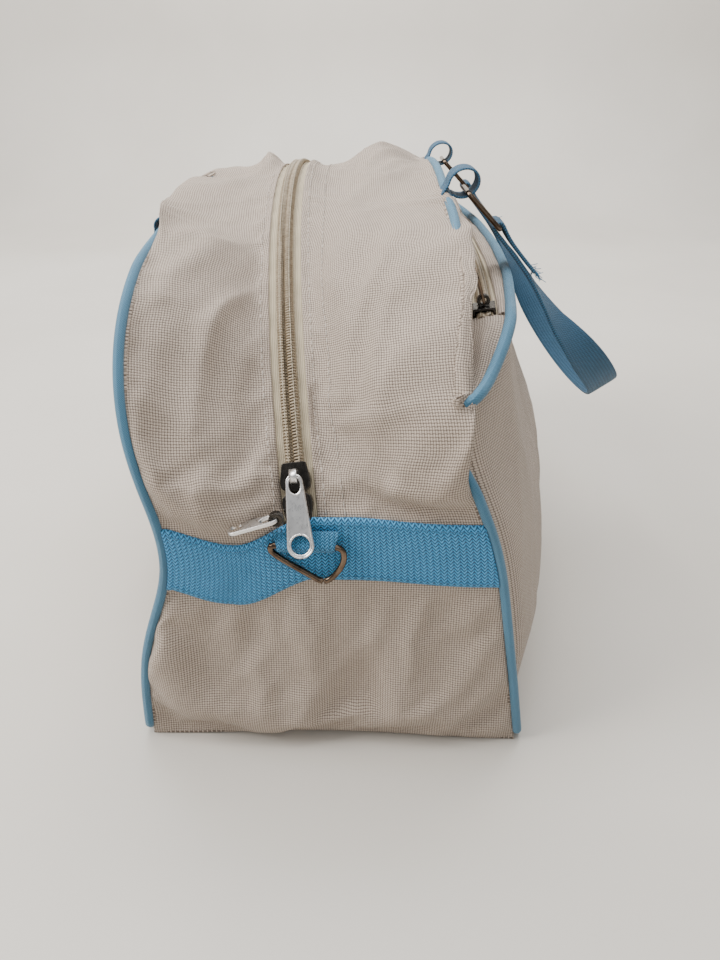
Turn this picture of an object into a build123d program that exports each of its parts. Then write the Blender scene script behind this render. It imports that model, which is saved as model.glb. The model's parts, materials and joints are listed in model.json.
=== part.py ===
from build123d import *
import os
from math import asin, atan, cos, degrees, radians, sin, sqrt, tan

os.makedirs("parts", exist_ok=True)

# Small soft travel bag. Origin at the centre of its base, +Z up. +X runs along
# its length, the front with the pocket faces -Y and the two zip sliders rest at
# the -X end. Sizes are in millimetres and angles in degrees.

# Driving dimensions: the bag
LENGTH = 380.0  # end to end over the cloth
BASE_DEPTH = 168.0  # front to back on the floor
CROWN_HEIGHT = 228.0  # top of the zip line
FRONT_TOP_Y = -47.0  # front seam at the crown height, leaning in
BACK_TOP_Y = 76.0  # back seam at the crown height
FRONT_CROWN = 231.0  # highest point of the front seam, along its panel
BACK_CROWN = 222.0  # highest point of the back seam, along its panel
FABRIC = 1.2  # coated cloth with its lining
SHOULDER = 85.0  # radius of the seam's upper corners
SEAM_CROWN_RADIUS = 500.0  # flatter arc between the two shoulders
PIPING = 4.0  # corded piping, across

# Driving dimensions: webbing
BELT_TOP = 113.5  # upper edge of the belt across each end
BELT_HEIGHT = 30.0
BELT_THICK = 1.5
WEBBING = 1.2  # narrow webbing of the loops
STRAP_WIDTH = 18.0
STRAP_THICK = 2.0

# Driving dimensions: main zip
ZIP_LOW_Y = 10.5  # the zip leans back from here, at the belt,
ZIP_CROWN_Y = 26.0  # to here, at the crown
ZIP_SLOT = 15.0  # opening between the two cloth edges
TAPE_THICK = 0.8
COIL_WIDTH = 2.8
COIL_HEIGHT = 2.5
COIL_SPLIT = 1.2  # gap between the two coils
SLIDER_WIDTH = 12.0
SLIDER_HALF_ANGLE = 1.54  # half the slider's length, as an angle about the zip arc
SLIDER_PLATE = 1.4
RUNNING = 0.35  # clearance between a moving piece and its neighbour
FIRST_SLIDER_ANGLE = 57.0  # from the crown, at rest
SECOND_SLIDER_ANGLE = 60.2
ZIP_END_ANGLE = 62.0
ZIP_CORNER_ANGLE = 35.0  # where the zip line matches the seam's upper corner
EDGE_GAP = 0.05  # between a zip tape and the cloth beside it
BRIDGE_RISE = 5.4  # centre of the slider's bridge above the cloth
BRIDGE_RADIUS = 2.9
BRIDGE_HOLE = 1.3
BRIDGE_WIDTH = 2.8
POST_LENGTH = 3.0  # of the post that passes between the two coils
POST_HALF = 0.25
POST_HALF_ANGLE = 0.5
FLANGE = 1.3  # thickness of the slider's two sides

# Driving dimensions: pullers
PULL_THICK = 1.2
PULL_LENGTH = 32.0
PULL_TIP_RADIUS = 5.3
PULL_HEAD_WIDTH = 7.4
PULL_RIM = 1.4
PULL_EYE = 6.0  # length of the oval eye
MAIN_PULL_LEAN = 30.0  # away from straight down, clear of the ring and its loop
SIDE_PULL_LENGTH = 20.0
SIDE_PULL_DROP = 18.0  # the second puller slopes down from level
SIDE_PULL_HEAD_WIDTH = 7.0
SIDE_PULL_TIP_RADIUS = 3.5
SIDE_HINGE_OUT = 7.0  # from the second slider's back edge
SIDE_HINGE_BACK = 2.0
SIDE_ARM = (7.6, 1.6, 3.0)  # joins the second slider to its loop
SIDE_ARM_OFFSET = (-3.6, -0.2, 0.0)

# Driving dimensions: rings
WIRE = 1.15  # radius of the ring wire
RING_TAB_WIDTH = 22.8
RING_TAB_Y = 8.5
RING_AXIS_HEIGHT = 109.0
TRIANGLE_HALF_WIDTH = 15.6  # along the wire's centre line
TRIANGLE_HEIGHT = 18.0
TRIANGLE_CORNER = 1.5
RING_WIDTH = 24.0
RING_HEIGHT = 22.0
RING_CORNER = 2.5

# Driving dimensions: front pocket. Heights run up along the front panel and
# depths stand out from it.
POCKET_TOP = 188.0
POCKET_LEVELS = (5.5, 70.0, POCKET_TOP)
POCKET_HALF_WIDTHS = (182.0, 180.0, 156.0)
POCKET_END_DEPTHS = (1.5, 11.0, 13.5)
POCKET_DEPTHS = (4.0, 27.0, 25.0)
POCKET_ZIP_DEPTH = 14.5  # of the zip line at the middle
POCKET_ZIP_END_DEPTH = 7.0  # and at its ends
POCKET_ZIP_HALF = 146.0
POCKET_SLOT = 10.0
POCKET_COIL_WIDTH = 2.4
POCKET_COIL_HEIGHT = 2.1
POCKET_ZIP_END_GAP = 0.5
POCKET_SLIDER_X = -139.0
POCKET_SLIDER_WIDTH = 9.2
POCKET_SLIDER_LENGTH = 10.0
POCKET_PLATE = 1.2
POCKET_FLANGE = 1.1
POCKET_BRIDGE_RISE = 4.4
POCKET_BRIDGE_RADIUS = 2.6
POCKET_PULL_LENGTH = 14.0
POCKET_PULL_TILT = 80.0  # leans back against the front panel
POCKET_PULL_HEAD_WIDTH = 7.0
POCKET_PULL_TIP_RADIUS = 4.2
CUT_PAST = 1.0  # the space inside the pocket is cut this far past its top

# Driving dimensions: handles
HANDLE_X = 71.0  # each handle loop, from the middle
HANDLE_LEG = 57.0  # straight part below the ring
FRONT_LOOP_OUT = 8.5  # centre of a front handle loop out from the panel
FRONT_LOOP_RISE = 2.0  # and above the seam
BACK_LOOP_OUT = 7.0
BACK_LOOP_RISE = -17.0  # the back loops hang down from the seam
LOOP_RADIUS = 6.0  # outside of the loop of webbing that holds a ring
LEG_OUT = 0.7  # where a loop's webbing meets the seam, out from it
LEG_DROP = 1.5  # and below it
BOW_OVERLAP = 12.0  # the curved bow of a strap starts this far up its legs
FRONT_RING_LEAN = 45.0  # away from straight down
FRONT_HANDLE_LEAN = 36.5
BACK_RING_LEAN = 20.0
BACK_HANDLE_LEAN = 6.0

half_length = LENGTH / 2

# The front and back panels lie in two planes that lean in towards the top.
front_lean = atan((BASE_DEPTH / 2 + FRONT_TOP_Y) / CROWN_HEIGHT)
back_lean = atan((BASE_DEPTH / 2 - BACK_TOP_Y) / CROWN_HEIGHT)
front_plane = Plane((0, -BASE_DEPTH / 2, 0), (1, 0, 0), (0, -cos(front_lean), sin(front_lean)))
back_plane = Plane((0, BASE_DEPTH / 2, 0), (-1, 0, 0), (0, cos(back_lean), sin(back_lean)))
back_section_plane = Plane((0, BASE_DEPTH / 2, 0), (1, 0, 0), (0, -cos(back_lean), -sin(back_lean)))

# The zip line is an arc in a plane of its own, which leans back.
zip_lean = atan((ZIP_CROWN_Y - ZIP_LOW_Y) / (CROWN_HEIGHT - BELT_TOP))
zip_foot_y = ZIP_LOW_Y - BELT_TOP * tan(zip_lean)
zip_plane = Plane((0, zip_foot_y, 0), (1, 0, 0), (0, -cos(zip_lean), sin(zip_lean)))
arc_low = BELT_TOP / cos(zip_lean)
arc_top = CROWN_HEIGHT / cos(zip_lean)
arc_rise = arc_top - arc_low
arc_radius = (half_length**2 + arc_rise**2) / (2 * arc_rise)
arc_centre = arc_top - arc_radius


def export(name, solid):
    """Label one finished piece and write its file."""
    solid.label = name
    export_step(solid, f"parts/{name}.step")


def on_arc(radius, angle):
    """Point in the zip plane, its angle measured from the crown towards -X."""
    return (-radius * sin(radians(angle)), arc_centre + radius * cos(radians(angle)))


# ------------------------------------------------------------------ bag body
def zip_section(inset):
    """Section of the bag along the zip line."""
    side = half_length - inset
    radius = arc_radius - inset
    kink = arc_centre + sqrt(radius**2 - side**2)
    crown_x, crown_v = on_arc(radius, -ZIP_CORNER_ANGLE)
    mid_x, mid_v = on_arc(radius, -(ZIP_CORNER_ANGLE + ZIP_END_ANGLE) / 2)
    with BuildSketch(zip_plane) as section:
        with BuildLine():
            Polyline((-side, kink), (-side, inset), (side, inset), (side, kink))
            ThreePointArc((side, kink), (mid_x, mid_v), (crown_x, crown_v))
            ThreePointArc((crown_x, crown_v), (0, arc_centre + radius), (-crown_x, crown_v))
            ThreePointArc((-crown_x, crown_v), (-mid_x, mid_v), (-side, kink))
        make_face()
    return section.sketch


def seam_section(plane, crown, inset):
    """Squarer section of the bag along a panel seam."""
    side = half_length - inset
    shoulder = SHOULDER - inset
    crown_radius = SEAM_CROWN_RADIUS - inset
    centre_v = crown - SEAM_CROWN_RADIUS
    centre_x = half_length - SHOULDER
    turn = asin(centre_x / (SEAM_CROWN_RADIUS - SHOULDER))
    shoulder_v = centre_v + (SEAM_CROWN_RADIUS - SHOULDER) * cos(turn)
    end_x, end_v = crown_radius * sin(turn), centre_v + crown_radius * cos(turn)
    bend = (radians(90) + turn) / 2
    mid_x, mid_v = centre_x + shoulder * sin(bend), shoulder_v + shoulder * cos(bend)
    with BuildSketch(plane) as section:
        with BuildLine():
            Polyline((-side, shoulder_v), (-side, inset), (side, inset), (side, shoulder_v))
            ThreePointArc((side, shoulder_v), (mid_x, mid_v), (end_x, end_v))
            ThreePointArc((end_x, end_v), (0, centre_v + crown_radius), (-end_x, end_v))
            ThreePointArc((-end_x, end_v), (-mid_x, mid_v), (-side, shoulder_v))
        make_face()
    return section.sketch


def bag_form(inset):
    """Outer form of the closed bag, with its top, ends and base set in by inset."""
    middle = zip_section(inset)
    front = seam_section(front_plane, FRONT_CROWN, inset)
    back = seam_section(back_section_plane, BACK_CROWN, inset)
    with BuildPart() as whole:
        loft([front, middle], ruled=True)
        loft([middle, back], ruled=True)
    return whole.part


outer_form = bag_form(0)
inner_form = bag_form(FABRIC)

with BuildPart() as front_panel:
    add(outer_form)
    split(bisect_by=front_plane.offset(-FABRIC), keep=Keep.TOP)
export("front_panel", front_panel.part)

with BuildPart() as back_panel:
    add(outer_form)
    split(bisect_by=back_plane.offset(-FABRIC), keep=Keep.TOP)
export("back_panel", back_panel.part)

with BuildPart() as gusset:
    add(outer_form)
    add(inner_form, mode=Mode.SUBTRACT)
    split(bisect_by=front_plane.offset(-FABRIC), keep=Keep.BOTTOM)
    split(bisect_by=back_plane.offset(-FABRIC), keep=Keep.BOTTOM)

with BuildPart() as lower_gusset:
    add(gusset.part)
    split(bisect_by=Plane.XY.offset(BELT_TOP), keep=Keep.BOTTOM)
export("lower_gusset", lower_gusset.part)

for name, side in (("upper_gusset_front", Keep.TOP), ("upper_gusset_back", Keep.BOTTOM)):
    toward = 1 if side == Keep.TOP else -1
    with BuildPart() as upper_gusset:
        add(gusset.part)
        split(bisect_by=Plane.XY.offset(BELT_TOP), keep=Keep.TOP)
        split(bisect_by=zip_plane.offset(toward * ZIP_SLOT / 2), keep=side)
    export(name, upper_gusset.part)


# ------------------------------------------------------- belts and their rings
with BuildPart() as near_belt:
    with BuildSketch(Plane.YZ.offset(-half_length)):
        with Locations((0, BELT_TOP - BELT_HEIGHT / 2)):
            Rectangle(BASE_DEPTH, BELT_HEIGHT)
    extrude(amount=-BELT_THICK)
    split(bisect_by=front_plane, keep=Keep.BOTTOM)
    split(bisect_by=back_plane, keep=Keep.BOTTOM)
export("near_belt", near_belt.part)
export("far_belt", mirror(near_belt.part, about=Plane.YZ))

loop_hole = WIRE + RUNNING
loop_outer = loop_hole + WEBBING
belt_face = -half_length - BELT_THICK
ring_axis_x = belt_face - loop_outer

with BuildPart() as near_ring_tab:
    with BuildSketch(Plane.XZ.offset(-RING_TAB_Y - RING_TAB_WIDTH / 2)):
        with Locations((ring_axis_x, RING_AXIS_HEIGHT)):
            Circle(loop_outer)
        with Locations((belt_face - WEBBING, (RING_AXIS_HEIGHT + BELT_TOP) / 2)):
            Rectangle(2 * WEBBING, BELT_TOP - RING_AXIS_HEIGHT)
        with Locations((ring_axis_x, RING_AXIS_HEIGHT)):
            Circle(loop_hole, mode=Mode.SUBTRACT)
    extrude(amount=RING_TAB_WIDTH)
export("near_ring_tab", near_ring_tab.part)
export("far_ring_tab", mirror(near_ring_tab.part, about=Plane.YZ))

ring_plane = Plane((ring_axis_x, RING_TAB_Y, RING_AXIS_HEIGHT), (0, 1, 0), (1, 0, 0))
triangle = [(-TRIANGLE_HALF_WIDTH, 0), (TRIANGLE_HALF_WIDTH, 0), (0, -TRIANGLE_HEIGHT)]
with BuildPart() as near_triangle_ring:
    with BuildLine(ring_plane) as triangle_path:
        FilletPolyline(*triangle, radius=TRIANGLE_CORNER, close=True)
    with BuildSketch(Plane(triangle_path.line @ 0, z_dir=triangle_path.line % 0)):
        Circle(WIRE)
    sweep(path=triangle_path.line)
export("near_triangle_ring", near_triangle_ring.part)
export("far_triangle_ring", mirror(near_triangle_ring.part, about=Plane.YZ))


# ---------------------------------------------------------------------- zips
def arc_bar(plane, centre, radii, angles, sides):
    """Bar that follows an arc: its two radii, two angles from +Y and two offsets."""
    inner, outer = radii
    first, last = angles
    with BuildPart() as bar:
        with BuildSketch(plane.offset(sides[0])):
            with BuildLine():
                rim = CenterArc((0, centre), outer, 90 + first, last - first)
                root = CenterArc((0, centre), inner, 90 + first, last - first)
                Line(rim @ 0, root @ 0)
                Line(rim @ 1, root @ 1)
            make_face()
        extrude(amount=sides[1] - sides[0])
    return bar.part


def main_bar(radii, angles, sides):
    """Bar along the main zip, its radii counted from the outside of the cloth."""
    levels = (arc_radius + radii[0], arc_radius + radii[1])
    return arc_bar(zip_plane, arc_centre, levels, angles, sides)


tape_top = -FABRIC
tape_low = tape_top - TAPE_THICK
coil_top = tape_top + COIL_HEIGHT
zip_angles = (-ZIP_END_ANGLE, ZIP_END_ANGLE)
split_half = COIL_SPLIT / 2
tape_edge = ZIP_SLOT / 2 - EDGE_GAP
coil_edge = split_half + COIL_WIDTH
export("main_tape_front", main_bar((tape_low, tape_top), zip_angles, (split_half, tape_edge)))
export("main_tape_back", main_bar((tape_low, tape_top), zip_angles, (-tape_edge, -split_half)))
export("main_coil_front", main_bar((tape_top, coil_top), zip_angles, (split_half, coil_edge)))
export("main_coil_back", main_bar((tape_top, coil_top), zip_angles, (-coil_edge, -split_half)))

cap_low = coil_top + RUNNING
cap_top = cap_low + SLIDER_PLATE
foot_top = tape_low - RUNNING
foot_low = foot_top - SLIDER_PLATE


def main_slider_body(angle):
    """Slider without its bridge: cap, two flanges, post and foot."""
    reach_along = (angle - SLIDER_HALF_ANGLE, angle + SLIDER_HALF_ANGLE)
    half = SLIDER_WIDTH / 2
    post_along = (angle - POST_HALF_ANGLE, angle + POST_HALF_ANGLE)
    flange_levels = (tape_top + RUNNING, cap_low)
    with BuildPart() as slider:
        add(main_bar((cap_low, cap_top), reach_along, (-half, half)))
        add(main_bar((foot_low, foot_top), reach_along, (-half, half)))
        add(main_bar((foot_top, cap_low), post_along, (-POST_HALF, POST_HALF)))
        add(main_bar(flange_levels, reach_along, (half - FLANGE, half)))
        add(main_bar(flange_levels, reach_along, (-half, FLANGE - half)))
    return slider.part


def pull_tab(plane, length, head_width, tip_radius, thick):
    """Flat puller: a rim at its hinge, an oval eye, a solid middle and a round hole."""
    eye_width = head_width - 2 * PULL_RIM
    with BuildPart() as puller:
        with BuildSketch(plane.offset(-thick / 2)):
            with BuildLine():
                top = Line((-head_width / 2, PULL_RIM / 2), (head_width / 2, PULL_RIM / 2))
                tip = CenterArc((0, tip_radius - length), tip_radius, 180, 180)
                Line(top @ 0, tip @ 0)
                Line(top @ 1, tip @ 1)
            make_face()
            with Locations((0, -(PULL_RIM + PULL_EYE) / 2)):
                SlotOverall(PULL_EYE, eye_width, rotation=90, mode=Mode.SUBTRACT)
            with Locations((0, tip_radius - length)):
                Circle(tip_radius - PULL_RIM, mode=Mode.SUBTRACT)
        extrude(amount=thick)
    return puller.part


# First slider, with an arched bridge that the puller's rim turns in
bridge_at = on_arc(arc_radius + BRIDGE_RISE, FIRST_SLIDER_ANGLE)
main_body = main_slider_body(FIRST_SLIDER_ANGLE)
with BuildPart() as main_slider:
    add(main_body)
    with BuildSketch(zip_plane.offset(-BRIDGE_WIDTH / 2)):
        with Locations(bridge_at):
            Circle(BRIDGE_RADIUS)
            Circle(BRIDGE_HOLE, mode=Mode.SUBTRACT)
    extrude(amount=BRIDGE_WIDTH)
export("main_slider", main_slider.part)

main_hinge = zip_plane.from_local_coords(Vector(*bridge_at, 0))
zip_up = zip_plane.y_dir
pull_lean = radians(MAIN_PULL_LEAN)
pull_up = Vector(1, 0, 0) * sin(pull_lean) + zip_up * cos(pull_lean)
main_pull_plane = Plane(main_hinge, zip_plane.z_dir, zip_plane.z_dir.cross(pull_up))
export(
    "main_puller",
    pull_tab(main_pull_plane, PULL_LENGTH, PULL_HEAD_WIDTH, PULL_TIP_RADIUS, PULL_THICK),
)

# Second slider, below the first, whose puller hangs from a loop at its back edge
second_cap = on_arc(arc_radius + cap_low, SECOND_SLIDER_ANGLE)
side_edge = zip_plane.from_local_coords(Vector(*second_cap, -SLIDER_WIDTH / 2))
side_hinge = side_edge + Vector(-SIDE_HINGE_OUT, SIDE_HINGE_BACK, 0)
second_body = main_slider_body(SECOND_SLIDER_ANGLE)
with BuildPart() as second_slider:
    add(second_body)
    with BuildSketch(Plane(side_hinge - Vector(BRIDGE_WIDTH / 2, 0, 0), (0, 1, 0), (1, 0, 0))):
        Circle(BRIDGE_RADIUS)
        Circle(BRIDGE_HOLE, mode=Mode.SUBTRACT)
    extrude(amount=BRIDGE_WIDTH)
    with Locations(side_edge + Vector(*SIDE_ARM_OFFSET)):
        Box(*SIDE_ARM)
export("second_slider", second_slider.part)

side_drop = radians(SIDE_PULL_DROP)
side_pull_plane = Plane(side_hinge, (-1, 0, 0), (0, sin(side_drop), cos(side_drop)))
export(
    "second_puller",
    pull_tab(side_pull_plane, SIDE_PULL_LENGTH, SIDE_PULL_HEAD_WIDTH, SIDE_PULL_TIP_RADIUS, PULL_THICK),
)


# -------------------------------------------------------------- front pocket
def pocket_section(index, inset, rise=0.0):
    """Level section of the pocket, bowed out from the front panel."""
    half = POCKET_HALF_WIDTHS[index] - inset
    end = POCKET_END_DEPTHS[index] - inset
    foot = front_plane.from_local_coords(Vector(0, POCKET_LEVELS[index] + rise, 0))
    with BuildSketch(Plane(foot, (-1, 0, 0), front_plane.y_dir)) as section:
        with BuildLine():
            ThreePointArc((-half, end), (0, POCKET_DEPTHS[index] - inset), (half, end))
            Polyline((half, end), (half, min(0, -inset)), (-half, min(0, -inset)), (-half, end))
        make_face()
    return section.sketch


pocket_sections = [pocket_section(index, 0) for index in range(3)]
pocket_inner = [
    pocket_section(0, FABRIC, FABRIC),
    pocket_section(1, FABRIC),
    pocket_section(2, FABRIC, CUT_PAST),
]
with BuildPart() as pocket_form:
    loft(pocket_sections, ruled=True)
with BuildPart() as pocket_space:
    loft(pocket_inner, ruled=True)
with BuildPart() as pocket_panel:
    add(pocket_form.part)
    add(pocket_space.part, mode=Mode.SUBTRACT)
export("pocket_panel", pocket_panel.part)

top_foot = front_plane.from_local_coords(Vector(0, POCKET_TOP, 0))
pocket_plane = Plane(top_foot, (-1, 0, 0), front_plane.y_dir)
pocket_bow = POCKET_ZIP_DEPTH - POCKET_ZIP_END_DEPTH
pocket_radius = (POCKET_ZIP_HALF**2 + pocket_bow**2) / (2 * pocket_bow)
pocket_centre = POCKET_ZIP_DEPTH - pocket_radius


def pocket_angle(x):
    """Angle along the pocket zip of a place at this distance along the bag."""
    return degrees(asin(x / pocket_radius))


def pocket_bar(sides, levels, ends):
    """Bar along the pocket zip, from one x to another."""
    radii = (pocket_radius + sides[0], pocket_radius + sides[1])
    angles = (pocket_angle(ends[0]), pocket_angle(ends[1]))
    return arc_bar(pocket_plane, pocket_centre, radii, angles, levels)


slot_half = POCKET_SLOT / 2
zip_ends = (-POCKET_ZIP_HALF, POCKET_ZIP_HALF)
slot_bar = pocket_bar((-slot_half, slot_half), (-2 * FABRIC, FABRIC), zip_ends)
with BuildPart() as pocket_zip_panel:
    add(pocket_space.part)
    split(bisect_by=pocket_plane.offset(-FABRIC), keep=Keep.TOP)
    split(bisect_by=pocket_plane, keep=Keep.BOTTOM)
    split(bisect_by=front_plane, keep=Keep.TOP)
    add(slot_bar, mode=Mode.SUBTRACT)
export("pocket_zip_panel", pocket_zip_panel.part)

pocket_edge = slot_half - EDGE_GAP
pocket_coil_top = tape_top + POCKET_COIL_HEIGHT
pocket_coil_edge = split_half + POCKET_COIL_WIDTH
tape_levels = (tape_low, tape_top)
coil_levels = (tape_top, pocket_coil_top)
zip_run = (POCKET_ZIP_END_GAP - POCKET_ZIP_HALF, POCKET_ZIP_HALF - POCKET_ZIP_END_GAP)
export("pocket_tape_outer", pocket_bar((split_half, pocket_edge), tape_levels, zip_run))
export("pocket_tape_inner", pocket_bar((-pocket_edge, -split_half), tape_levels, zip_run))
export("pocket_coil_outer", pocket_bar((split_half, pocket_coil_edge), coil_levels, zip_run))
export("pocket_coil_inner", pocket_bar((-pocket_coil_edge, -split_half), coil_levels, zip_run))

# Pocket slider: its puller swings across the zip
pocket_cap = pocket_coil_top + RUNNING
slider_ends = (POCKET_SLIDER_X - POCKET_SLIDER_LENGTH / 2, POCKET_SLIDER_X + POCKET_SLIDER_LENGTH / 2)
post_ends = (POCKET_SLIDER_X - POST_LENGTH / 2, POCKET_SLIDER_X + POST_LENGTH / 2)
pocket_half = POCKET_SLIDER_WIDTH / 2
cap_levels = (pocket_cap, pocket_cap + POCKET_PLATE)
foot_levels = (foot_top - POCKET_PLATE, foot_top)
flange_levels = (tape_top + RUNNING, pocket_cap)
pocket_pieces = [
    pocket_bar((-pocket_half, pocket_half), cap_levels, slider_ends),
    pocket_bar((-pocket_half, pocket_half), foot_levels, slider_ends),
    pocket_bar((-POST_HALF, POST_HALF), (foot_top, pocket_cap), post_ends),
    pocket_bar((pocket_half - POCKET_FLANGE, pocket_half), flange_levels, slider_ends),
    pocket_bar((-pocket_half, POCKET_FLANGE - pocket_half), flange_levels, slider_ends),
]
slider_depth = pocket_centre + sqrt(pocket_radius**2 - POCKET_SLIDER_X**2)
pocket_hinge = pocket_plane.from_local_coords(Vector(-POCKET_SLIDER_X, slider_depth, POCKET_BRIDGE_RISE))
bridge_start = pocket_hinge - Vector(BRIDGE_WIDTH / 2, 0, 0)
with BuildPart() as pocket_slider:
    for piece in pocket_pieces:
        add(piece)
    with BuildSketch(Plane(bridge_start, (0, 1, 0), (1, 0, 0))):
        Circle(POCKET_BRIDGE_RADIUS)
        Circle(BRIDGE_HOLE, mode=Mode.SUBTRACT)
    extrude(amount=BRIDGE_WIDTH)
export("pocket_slider", pocket_slider.part)

pull_tilt = radians(POCKET_PULL_TILT)
pull_down = pocket_plane.y_dir * cos(pull_tilt) - pocket_plane.z_dir * sin(pull_tilt)
pocket_pull_plane = Plane(pocket_hinge, (1, 0, 0), Vector(1, 0, 0).cross(pull_down))
pocket_pull_sizes = (POCKET_PULL_LENGTH, POCKET_PULL_HEAD_WIDTH, POCKET_PULL_TIP_RADIUS)
export("pocket_puller", pull_tab(pocket_pull_plane, *pocket_pull_sizes, PULL_THICK))

with BuildPart() as pocket_piping:
    add(pocket_section(2, -PIPING, -PIPING))
    extrude(amount=PIPING)
    split(bisect_by=front_plane, keep=Keep.TOP)
    add(pocket_form.part, mode=Mode.SUBTRACT)


# ------------------------------------------------------------------- handles
def handle_set(side, seam_plane, crown, loop_at, ring_lean, handle_lean):
    """Two loops, two rings and the strap of one handle, with its two hinge lines.
    A loop is held at its lower side where it stands over the seam, or else at its top."""
    out = seam_plane.z_dir
    seam_up = crown - SEAM_CROWN_RADIUS + sqrt(SEAM_CROWN_RADIUS**2 - HANDLE_X**2)
    seam = seam_plane.from_local_coords(Vector(0, seam_up, 0))
    loop_out, loop_rise = loop_at
    loop_centre = seam + out * loop_out + Vector(0, 0, loop_rise)
    held = LOOP_RADIUS - WEBBING if loop_rise < 0 else WEBBING - LOOP_RADIUS
    wide = Vector(0, side * WEBBING, 0) if loop_rise < 0 else Vector(0, 0, WEBBING)
    ring_down = Vector(0, side * sin(radians(ring_lean)), -cos(radians(ring_lean)))
    strap_down = Vector(0, side * sin(radians(handle_lean)), -cos(radians(handle_lean)))
    upper_bar = loop_centre + ring_down * (LOOP_RADIUS - WEBBING - WIRE - RUNNING)
    lower_bar = upper_bar + ring_down * RING_HEIGHT
    start = Vector(-STRAP_WIDTH / 2, 0, 0)
    leg_in = seam + out * LEG_OUT - Vector(0, 0, LEG_DROP)
    if loop_rise < 0:
        leg_in += wide
    legs = []
    rings = []
    for x in (-HANDLE_X, HANDLE_X):
        across = Plane((x - STRAP_WIDTH / 2, 0, 0), (0, 1, 0), (1, 0, 0))
        with BuildPart() as tab:
            with BuildSketch(across):
                with Locations((loop_centre.Y, loop_centre.Z)):
                    Circle(LOOP_RADIUS)
                loop_end = loop_centre + Vector(0, 0, held)
                corners = (leg_in - wide, loop_end - wide, loop_end + wide, leg_in + wide)
                with BuildLine():
                    Polyline(*((corner.Y, corner.Z) for corner in corners), close=True)
                make_face()
                with Locations((loop_centre.Y, loop_centre.Z)):
                    Circle(LOOP_RADIUS - WEBBING, mode=Mode.SUBTRACT)
            extrude(amount=STRAP_WIDTH)
        legs.append(tab.part)
        ring_face = Plane(upper_bar + Vector(x, 0, 0), (1, 0, 0), Vector(1, 0, 0).cross(-ring_down))
        half = RING_WIDTH / 2
        ring_corners = [(-half, 0), (half, 0), (half, -RING_HEIGHT), (-half, -RING_HEIGHT)]
        with BuildPart() as ring:
            with BuildLine(ring_face) as wire_path:
                FilletPolyline(*ring_corners, radius=RING_CORNER, close=True)
            with BuildSketch(Plane(wire_path.line @ 0, z_dir=wire_path.line % 0)):
                Circle(WIRE)
            sweep(path=wire_path.line)
        rings.append(ring.part)
    slope = Plane(lower_bar, (1, 0, 0), Vector(1, 0, 0).cross(-strap_down))
    half_thick = STRAP_THICK / 2
    bow_start = BOW_OVERLAP - HANDLE_LEG
    with BuildPart() as strap:
        for x in (-HANDLE_X, HANDLE_X):
            bar_end = Plane(lower_bar + Vector(x, 0, 0) + start, (0, 1, 0), (1, 0, 0))
            with BuildSketch(bar_end):
                Circle(loop_hole + STRAP_THICK)
                Circle(loop_hole, mode=Mode.SUBTRACT)
            extrude(amount=STRAP_WIDTH)
            with BuildSketch(slope.offset(-half_thick)):
                with Locations((x, -(loop_hole + half_thick + HANDLE_LEG) / 2)):
                    Rectangle(STRAP_WIDTH, HANDLE_LEG - loop_hole - half_thick)
            extrude(amount=STRAP_THICK)
        with BuildSketch(slope.offset(-STRAP_WIDTH / 2)):
            for radius, mode in ((HANDLE_X + half_thick, Mode.ADD), (HANDLE_X - half_thick, Mode.SUBTRACT)):
                with BuildLine():
                    bow = CenterArc((0, -HANDLE_LEG), radius, 180, 180)
                    Polyline(bow @ 0, (-radius, bow_start), (radius, bow_start), bow @ 1)
                make_face(mode=mode)
        extrude(amount=STRAP_WIDTH)
    return legs, rings, strap.part, upper_bar, lower_bar


front_loop = (FRONT_LOOP_OUT, FRONT_LOOP_RISE)
back_loop = (BACK_LOOP_OUT, BACK_LOOP_RISE)
front_leans = (FRONT_RING_LEAN, FRONT_HANDLE_LEAN)
back_leans = (BACK_RING_LEAN, BACK_HANDLE_LEAN)
front_handle = handle_set(-1, front_plane, FRONT_CROWN, front_loop, *front_leans)
back_handle = handle_set(1, back_plane, BACK_CROWN, back_loop, *back_leans)
for face, handle in (("front", front_handle), ("back", back_handle)):
    legs, rings, strap = handle[:3]
    for place, leg, ring in zip(("near", "far"), legs, rings):
        export(f"{face}_tab_{place}", leg)
        export(f"{face}_ring_{place}", ring)
    export(f"{face}_handle", strap)


# -------------------------------------------------------------------- piping
for face, plane, crown, handle in (
    ("front", front_plane, FRONT_CROWN, front_handle),
    ("back", back_plane, BACK_CROWN, back_handle),
):
    rim = seam_section(plane, crown, 0) - seam_section(plane, crown, PIPING)
    with BuildPart() as piping:
        extrude(rim, amount=PIPING, dir=plane.z_dir)
        for leg in handle[0]:
            add(leg, mode=Mode.SUBTRACT)
    export(f"{face}_piping", piping.part)
export("pocket_piping", pocket_piping.part)
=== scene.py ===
import json
import math
import random

import bpy
import numpy as np
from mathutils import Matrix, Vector, noise


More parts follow.
